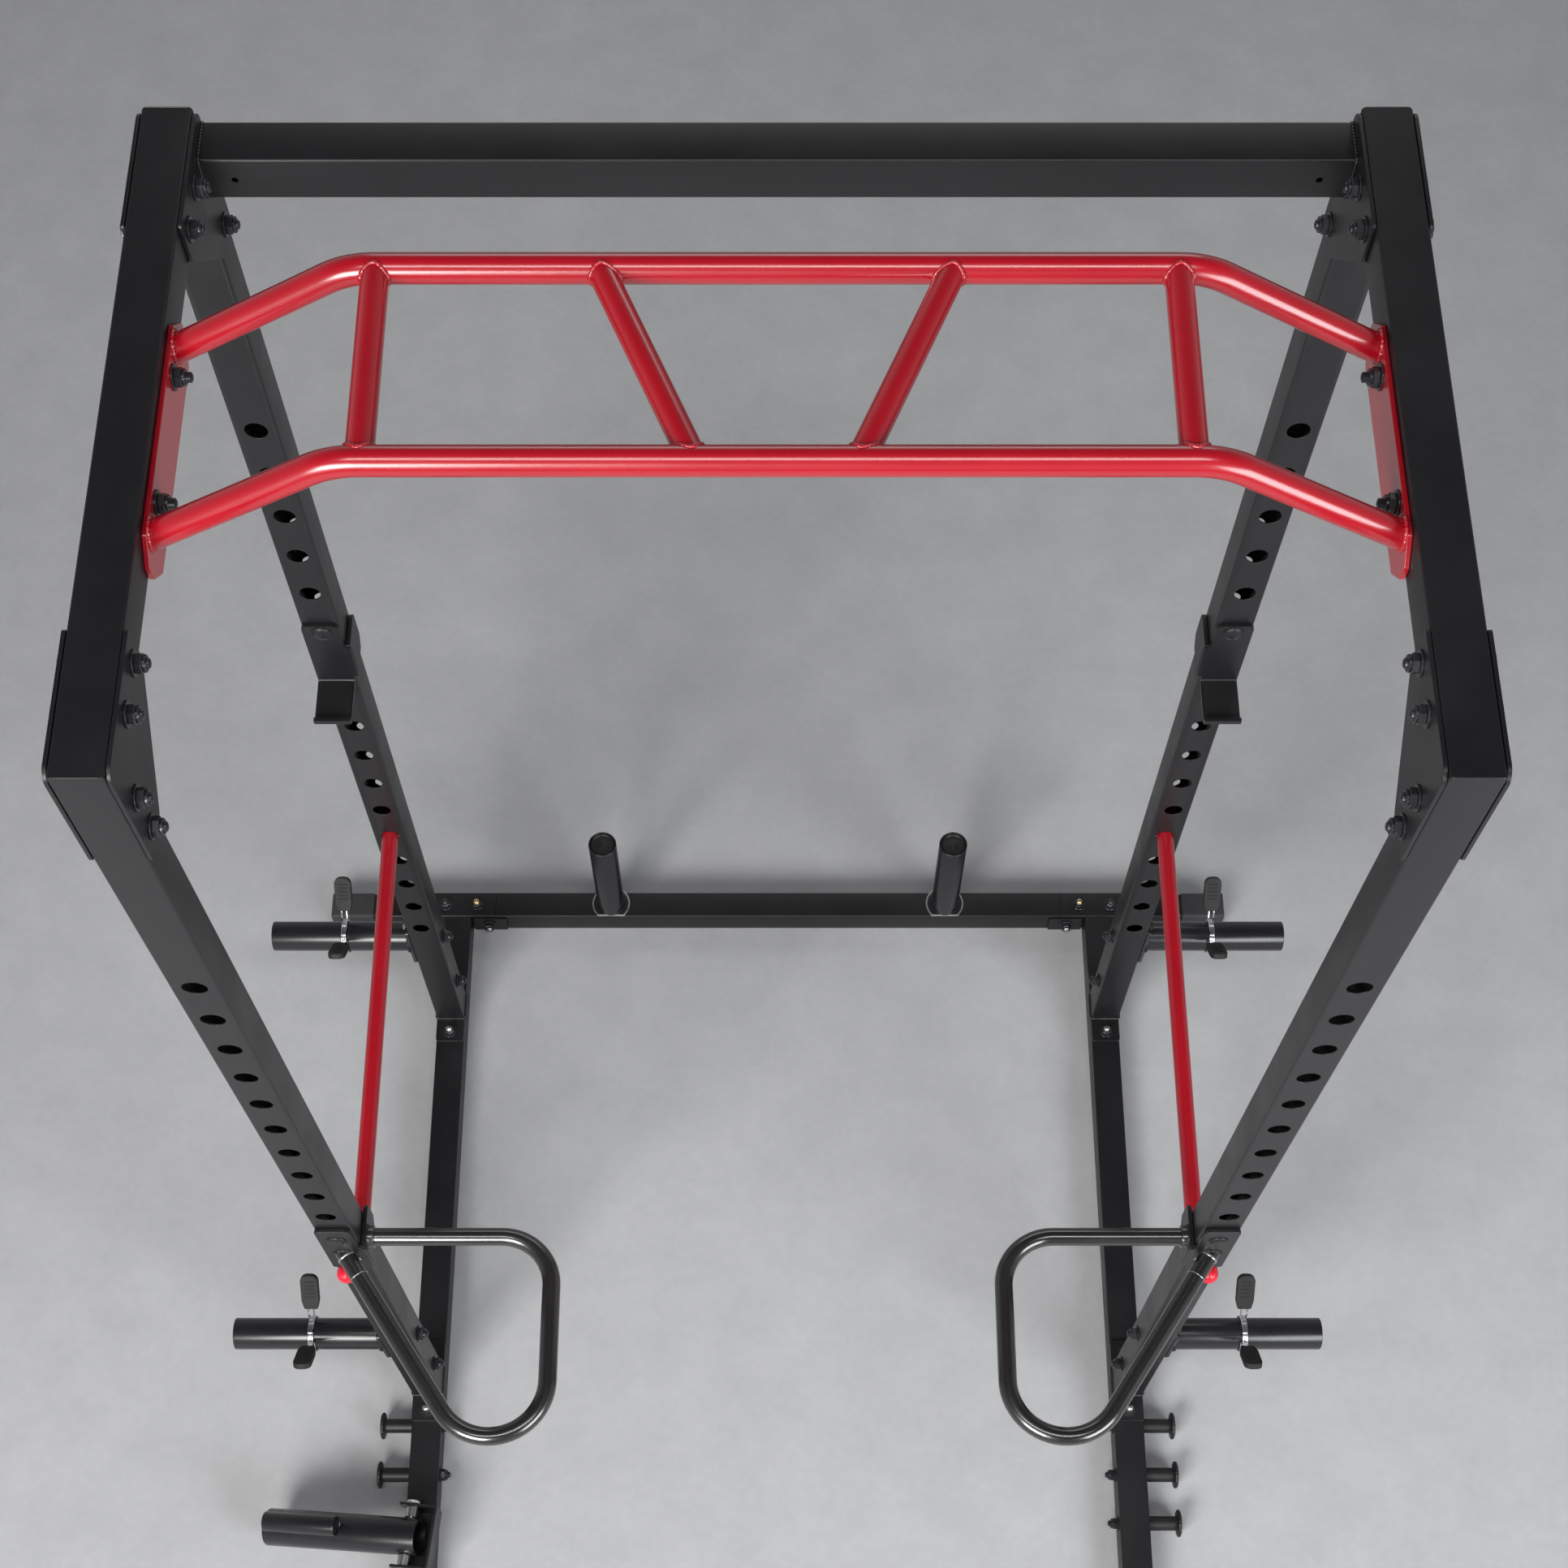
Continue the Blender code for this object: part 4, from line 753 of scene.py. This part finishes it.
for side, s in SIDES:
    xi = INNER - GAP - 0.006
    f1 = RF - GAP
    A = bend_path([Vector((f1 - 0.003, J_Z1, 0)), Vector((f1 - 0.003, J_Z0 - 0.003, 0)), Vector((f1 - 0.072, J_Z0 - 0.003, 0)),
                   Vector((f1 - 0.072, J_Z0 + 0.0077, 0))], (0.0065, 0.0052), 8)
    prof = ribbon([v.to_2d() for v in A], 0.0058)
    a, b = sorted((s * xi, s * XO))
    o = obj_from(bm_prism(prof, 'X', a, b), "j_cup_" + side, "frame")
    pts = [(s * XO, J_Z0 - 0.010), (s * XO, J_Z1), (s * (INNER + 0.001), J_Z1), (s * (INNER + 0.001), 1.2735), (s * xi, 1.2675), (s * xi, 1.2055),
           (s * (INNER + 0.001), 1.2015), (s * (INNER + 0.001), J_Z0 - 0.010)]
    pts = round_poly(pts, [0, 0.008, 0.010, 0.003, 0.003, 0.002, 0.002, 0], 6)
    boolean(o, tmp(bm_prism(pts, 'Y', f1 - 0.09, f1 + 0.01)), 'INTERSECT')
    done(o, "j_hook_" + side, "j_hook_" + side, 0.0009, 2, 42)
    ear = round_poly([(f1 - 0.003, 1.272), (RF + 0.050, 1.272), (RF + 0.050, 1.222), (RF + 0.038, 1.205), (f1 - 0.003, 1.205)],
                     [0, 0.009, 0.008, 0.008, 0], 6)
    a, b = sorted((s * xi, s * (xi + 0.006)))
    done(obj_from(bm_prism(ear, 'X', a, b), "j_hook_ear_" + side, "frame"), "j_hook_" + side, (), 0.0009, 2)
    pinp = bm_turned((s * XC, f1 - 0.0095, J_PIN), (0, 1, 0),
                     [(0, 0), (0.0004, 0.0070), (0.0012, 0.0095), (0.0024, 0.0112), (0.0040, 0.0118), (0.0380, 0.0119), (0.0390, 0.0112), (0.0395, 0.0100), (0.0395, 0)], 48)
    done(obj_from(pinp, "j_hook_pin_" + side, "frame"), "j_hook_" + side)
    done(obj_from(bm_bead(circle((s * XC, f1 - 0.0064, J_PIN), (0, 1, 0), 0.0122), (0, 1, 0), 0.0014), "j_hook_weld_" + side, "weld"),
         "j_hook_" + side, deg=80)
    # wear liner on the shelf
    a, b = sorted((s * (INNER + 0.0028), s * (XO - 0.0018)))
    lin = round_poly([(a, f1 - 0.0668), (b, f1 - 0.0668), (b, f1 - 0.0080), (a, f1 - 0.0080)], 0.003)
    done(obj_from(bm_prism(lin, 'Z', J_Z0 - 0.0004, J_Z0 + 0.0012), "j_hook_liner_" + side, "plastic"), "j_hook_" + side, (), 0.0005)

# ------------------------------------------------------------------ safety bars
for side, s in SIDES:
    o = obj_from(bm_turned((s * XC, FY + 0.006, SAFE_Z), (0, 1, 0),
                           [(0, 0), (0.0004, 0.0085), (0.0010, 0.0108), (0.0024, 0.0121), (0.0040, SAFE_R), (0.7445, SAFE_R), (0.7447, 0.0172),
                            (0.7453, 0.0180), (0.7525, 0.0180), (0.7535, 0.0175), (0.7540, 0.0160), (0.7540, 0)], 48), "spotter_bar_" + side, "red")
    done(o, "safety_bar_" + side, "safety_bar_" + side)
    done(obj_from(bm_bead(circle((s * XC, FY + 0.006 + 0.7437, SAFE_Z), (0, 1, 0), SAFE_R + 0.0004), (0, 1, 0), 0.0015), "spotter_bar_weld_" + side, "red"),
         "safety_bar_" + side, deg=80)

# ------------------------------------------------------------------ dip handles and pull knobs
for side, s in SIDES:
    body = "dip_handle_" + side
    xi = INNER - GAP - 0.006
    f1 = FY - GAP
    pts = round_poly([(s * XO, 0.790), (s * XO, 0.942), (s * (INNER + 0.001), 0.942), (s * (INNER + 0.001), 0.872), (s * xi, 0.866), (s * xi, 0.790)],
                     [0.003, 0.008, 0.010, 0.003, 0.003, 0.008], 6)
    o = obj_from(bm_prism(pts, 'Y', f1 - 0.006, f1), "dip_plate_" + side, "frame")
    cut(o, tmp(bm_rod((s * XC, FY - 0.03, KNOB_Z), (s * XC, FY + 0.01, KNOB_Z), 0.0050, 28)))
    done(o, body, (), 0.0009)
    ear = round_poly([(f1 - 0.003, 0.868), (FY + 0.060, 0.868), (FY + 0.060, 0.822), (FY + 0.048, 0.806), (f1 - 0.003, 0.796)],
                     [0, 0.008, 0.008, 0.008, 0], 6)
    a, b = sorted((s * xi, s * (xi + 0.006)))
    done(obj_from(bm_prism(ear, 'X', a, b), "dip_ear_" + side, "frame"), body, (), 0.0009)
    pinp = bm_turned((s * XC, f1 - 0.0095, DIP_PIN), (0, 1, 0),
                     [(0, 0), (0.0004, 0.0070), (0.0012, 0.0095), (0.0024, 0.0112), (0.0040, 0.0118), (0.0380, 0.0119), (0.0390, 0.0112), (0.0395, 0.0100), (0.0395, 0)], 48)
    done(obj_from(pinp, "dip_pin_" + side, "frame"), body)
    path = bend_path([(s * (xi + 0.003), FY + 0.018, DIP_Z), (s * 0.3085, FY + 0.018, DIP_Z),
                      (s * 0.3085, FY - 0.4393, DIP_Z), (s * 0.5950, FY - 0.0035, DIP_Z)], (0.070, 0.0763), 24)
    o = obj_from(bm_bent(path, DIP_R, 40, ends=((1, 0, 0), (0, 1, 0))), "dip_tube_" + side, "handle")
    done(o, body, "dip_handle_" + side, deg=50)
    collar = bm_turned((s * (xi + 0.001), FY + 0.018, DIP_Z), (-s, 0, 0),
                       [(0, 0), (0, 0.0160), (0.0095, 0.0160), (0.0105, 0.0155), (0.0110, 0.0145), (0.0110, 0)], 40)
    dd = Vector((s * 0.5950, FY - 0.0035, DIP_Z)) - Vector((s * 0.3085, FY - 0.4393, DIP_Z))
    dd.normalize()
    k = 1 / abs(dd.y)
    loop = [(s * 0.5950 - s * 0.0018 + DIP_R * k * math.cos(t), f1 - 0.0062, DIP_Z + DIP_R * math.sin(t)) for t in [2 * math.pi * i / 40 for i in range(40)]]
    done(obj_from(collar, "dip_collar_" + side, "handle"), body)
    # end ring at the plate and the seam of the inner sleeve
    e1 = Vector((s * 0.5950, FY - 0.0035, DIP_Z))
    ring = bm_turned(e1 - dd * 0.0085, -dd, [(0, 0.0120), (0, 0.0134), (0.0006, 0.0138), (0.0026, 0.0138), (0.0032, 0.0134), (0.0032, 0.0120)], 40)
    seamr = bm_turned(e1 - dd * 0.0420, -dd, [(0, 0.0120), (0, 0.01285), (0.0004, 0.0130), (0.0010, 0.0130), (0.0014, 0.01285), (0.0014, 0.0120)], 40)
    done(obj_from(join(ring, seamr), "dip_rings_" + side, "zinc"), body)
    wl = [bm_bead(loop, (0, 1, 0), 0.0019), bm_bead(circle((s * (xi - 0.0004), FY + 0.018, DIP_Z), (1, 0, 0), 0.0164), (1, 0, 0), 0.0016),
          bm_bead(circle((s * XC, f1 - 0.0064, DIP_PIN), (0, 1, 0), 0.0122), (0, 1, 0), 0.0014)]
    done(obj_from(join(*wl), "dip_welds_" + side, "weld"), body, deg=80)
    rv = bm_turned((s * (INNER + 0.009), f1 - 0.0058, 0.8255), (0, -1, 0), [(0, 0), (0, 0.0042), (0.0008, 0.0040), (0.0016, 0.0028), (0.0020, 0)], 24)
    done(obj_from(rv, "dip_rivet_" + side, "zinc"), body)
    flute = lambda a, t, r: 1.0 - (0.065 * (0.5 + 0.5 * math.cos(10 * a)) ** 2 if r > 0.0125 else 0.0)
    kp = (s * XC, FY - 0.0380, KNOB_Z)
    kn = bm_turned(kp, (0, 1, 0), [(0.0, 0), (0.0003, 0.0030), (0.0012, 0.0060), (0.0028, 0.0088), (0.0050, 0.0112), (0.0078, 0.0131), (0.0105, 0.0139), (0.0130, 0.0140),
                                   (0.0160, 0.0139), (0.0190, 0.0133), (0.0215, 0.0120), (0.0235, 0.0100), (0.0262, 0.0086), (0.0270, 0.0085), (0.0290, 0.0085), (0.0290, 0)], 120, wave=flute)
    done(obj_from(kn, "knob_grip_" + side, "knob"), "pull_knob_" + side, "pull_knob_" + side, deg=60)
    st = bm_turned((s * XC, FY - 0.0380, KNOB_Z), (0, 1, 0), [(0.0285, 0), (0.0285, 0.0082), (0.0310, 0.0082), (0.0310, 0.0040), (0.0430, 0.0040), (0.0440, 0.0032), (0.0440, 0)], 6 * 6)
    done(obj_from(st, "knob_stem_" + side, "zinc"), "pull_knob_" + side)

# ------------------------------------------------------------------ spring collars
def polar(s, x, r, ang, yc):
    return Vector((s * x, yc + r * math.cos(ang), SLEEVE_Z + r * math.sin(ang)))

WR, CR = 0.00155, 0.0276
for side, s in SIDES:
    for where, y0, rear in WHERE:
        yc = y0 + TUBE / 2
        tag = "%s_%s" % (where, side)
        cbody, lbody = "collar_" + tag, "collar_lever_" + tag
        x_hi, x_lo = COLLAR_X + 0.0053, COLLAR_X - 0.0053
        a0, a1 = math.radians(45), math.radians(135 - 1440)
        # hairpin in the grip, then down to the coil
        path = [polar(s, x_hi - 0.0085, 0.0330, a0, yc), polar(s, x_hi - 0.0085, 0.0480, a0, yc), polar(s, x_hi - 0.0083, 0.0600, a0, yc)]
        for k in range(7):
            w = math.pi * (k + 1) / 8
            path.append(polar(s, x_hi - 0.00425 - 0.00425 * math.cos(w), 0.0620 + 0.0042 * math.sin(w), a0, yc))
        path += [polar(s, x_hi - 0.0002, 0.0600, a0, yc), polar(s, x_hi, 0.0480, a0, yc), polar(s, x_hi, 0.0350, a0, yc)]
        for k in range(5):
            w = (k + 1) / 6
            path.append(polar(s, x_hi, 0.0340 - 0.0062 * w, a0 - math.radians(9) * w, yc))
        steps = 210
        for k in range(steps + 1):
            w = k / steps
            path.append(polar(s, x_hi + (x_lo - x_hi) * w, CR, a0 - math.radians(12) + (a1 - a0 + math.radians(12)) * w, yc))
        bm = bmesh.new()
        rings = []
        prev = None
        for k, p in enumerate(path):
            t = (path[min(k + 1, len(path) - 1)] - path[max(k - 1, 0)]).normalized()
            u = (prev - t * prev.dot(t)).normalized() if prev else t.orthogonal().normalized()
            prev = u
            v = t.cross(u)
            rings.append([bm.verts.new(p + WR * (math.cos(2 * math.pi * i / 14) * u + math.sin(2 * math.pi * i / 14) * v)) for i in range(14)])
        for k in range(len(rings) - 1):
            for i in range(14):
                bm.faces.new((rings[k][i], rings[k][(i + 1) % 14], rings[k + 1][(i + 1) % 14], rings[k + 1][i]))
        bm.faces.new(rings[0][::-1])
        bm.faces.new(rings[-1])
        done(obj_from(bm, "coil_" + tag, "chrome"), cbody, "collar_spring_" + tag)
        def pad_bm(ang):
            a, b = COLLAR_X - 0.0140, COLLAR_X + 0.0140
            pts = round_poly([(s * (a + 0.0035), 0.046), (s * (b - 0.0035), 0.046), (s * b, 0.060), (s * b, 0.105), (s * a, 0.105), (s * a, 0.060)],
                             [0.003, 0.003, 0.012, 0.011, 0.011, 0.012], 8)
            bm = bm_prism(pts, 'Z', -0.0048, 0.0048)
            ribs = []
            for k in range(5):
                r0 = 0.066 + k * 0.0065
                ribs.append(bm_prism(round_poly([(s * (a + 0.006), r0), (s * (b - 0.006), r0), (s * (b - 0.006), r0 + 0.0028), (s * (a + 0.006), r0 + 0.0028)], 0.0012, 4), 'Z', -0.0055, 0.0055))
            out = join(bm, *ribs)
            rot = Matrix.Translation((0, yc, SLEEVE_Z)) @ Matrix.Rotation(ang, 4, 'X')
            bmesh.ops.transform(out, matrix=rot, verts=out.verts[:])
            return out
        done(obj_from(pad_bm(math.radians(45)), "collar_grip_rear_" + tag, "rubber"), cbody, (), 0.0016, 3, 50)
        done(obj_from(pad_bm(math.radians(135)), "collar_grip_front_" + tag, "rubber"), lbody, "collar_lever_" + tag, 0.0016, 3, 50)
        a1v = math.radians(135)
        arms = [bm_bent([polar(s, xx, 0.0620, a1v, yc), polar(s, xx, 0.0450, a1v, yc), polar(s, xx, 0.0345, a1v, yc), polar(s, xx, 0.0318, a1v + 0.02, yc),
                         polar(s, xx, 0.0312, a1v + 0.05, yc)], WR, 14, up=(1, 0, 0)) for xx in (x_lo, x_lo + 0.0085)]
        done(obj_from(join(*arms), "lever_wire_" + tag, "chrome"), lbody)

# ------------------------------------------------------------------ joined small hardware
done(obj_from(join(*black_hw), "frame_fasteners", "oxide"), ROOT, deg=30)
done(obj_from(join(*zinc_hw), "foot_bolt_tips", "zinc"), ROOT, deg=30)
done(obj_from(join(*welds), "frame_welds", "weld"), ROOT, deg=80)

# any CAD node still on show gets a procedural finish
for name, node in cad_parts.items():
    if not node.hide_render:
        node.data.materials.clear()
        node.data.materials.append(M["frame"])

# ------------------------------------------------------------------ floor, light, camera
bm = bmesh.new()
bmesh.ops.create_grid(bm, x_segments=8, y_segments=8, size=14.0)
me = bpy.data.meshes.new("studio_floor")
bm.to_mesh(me)
bm.free()
floor = bpy.data.objects.new("studio_floor", me)
bpy.context.scene.collection.objects.link(floor)
floor.location = (0, 2.0, -0.0005)
fm = coated("floor_pale", (0.42, 0.425, 0.435), 0.78, var=0.05, grain=60, bump=0.04, dist=0.002, spec=0.25)
me.materials.append(fm)

def area(name, loc, target, size, power, size_y=None, color=(1, 1, 1)):
    l = bpy.data.lights.new(name, 'AREA')
    l.shape = 'RECTANGLE'
    l.size, l.size_y, l.energy, l.color = size, size_y or size, power, color
    o = bpy.data.objects.new(name, l)
    o.location = loc
    o.rotation_euler = (Vector(target) - Vector(loc)).to_track_quat('-Z', 'Y').to_euler()
    bpy.context.scene.collection.objects.link(o)
    return o

area("key", (-2.2, -4.2, 3.6), (0, 0, 0.9), 2.6, 340, 2.0, (1.0, 0.985, 0.965))
area("fill", (3.2, -3.2, 2.6), (0, 0, 0.8), 2.6, 165, 2.0, (0.97, 0.985, 1.0))
area("rim", (0.4, 4.6, 4.0), (0, 0, 0.6), 3.5, 30, 1.2)
area("strip", (0.0, -1.5, 5.4), (0, 0.1, 1.6), 3.4, 65, 0.5)
w = bpy.data.worlds.new("studio_world")
bpy.context.scene.world = w
w.use_nodes = True
nt = w.node_tree
bg = nt.nodes["Background"]
tc = nt.nodes.new("ShaderNodeTexCoord")
sep = nt.nodes.new("ShaderNodeSeparateXYZ")
nt.links.new(tc.outputs["Generated"], sep.inputs[0])
cr = nt.nodes.new("ShaderNodeValToRGB")
cr.color_ramp.elements[0].position, cr.color_ramp.elements[0].color = 0.05, (0.80, 0.81, 0.84, 1)
cr.color_ramp.elements[1].position, cr.color_ramp.elements[1].color = 0.75, (0.10, 0.10, 0.11, 1)
nt.links.new(sep.outputs["Z"], cr.inputs["Fac"])
nt.links.new(cr.outputs["Color"], bg.inputs["Color"])
bg.inputs["Strength"].default_value = 0.58

cd = bpy.data.cameras.new("photo_camera")
cd.sensor_width, cd.lens = 36.0, 51.53
cd.shift_x, cd.shift_y = 0.0034, 0.183
cd.clip_start, cd.clip_end = 0.05, 100
cam = bpy.data.objects.new("photo_camera", cd)
cam.location = (0.0015, -1.2403, 3.7881)
cam.rotation_euler = (math.radians(22.644), 0.0, 0.0)
bpy.context.scene.collection.objects.link(cam)
bpy.context.scene.camera = cam
bpy.context.scene.view_settings.view_transform = 'Standard'
bpy.context.scene.view_settings.look = 'None'
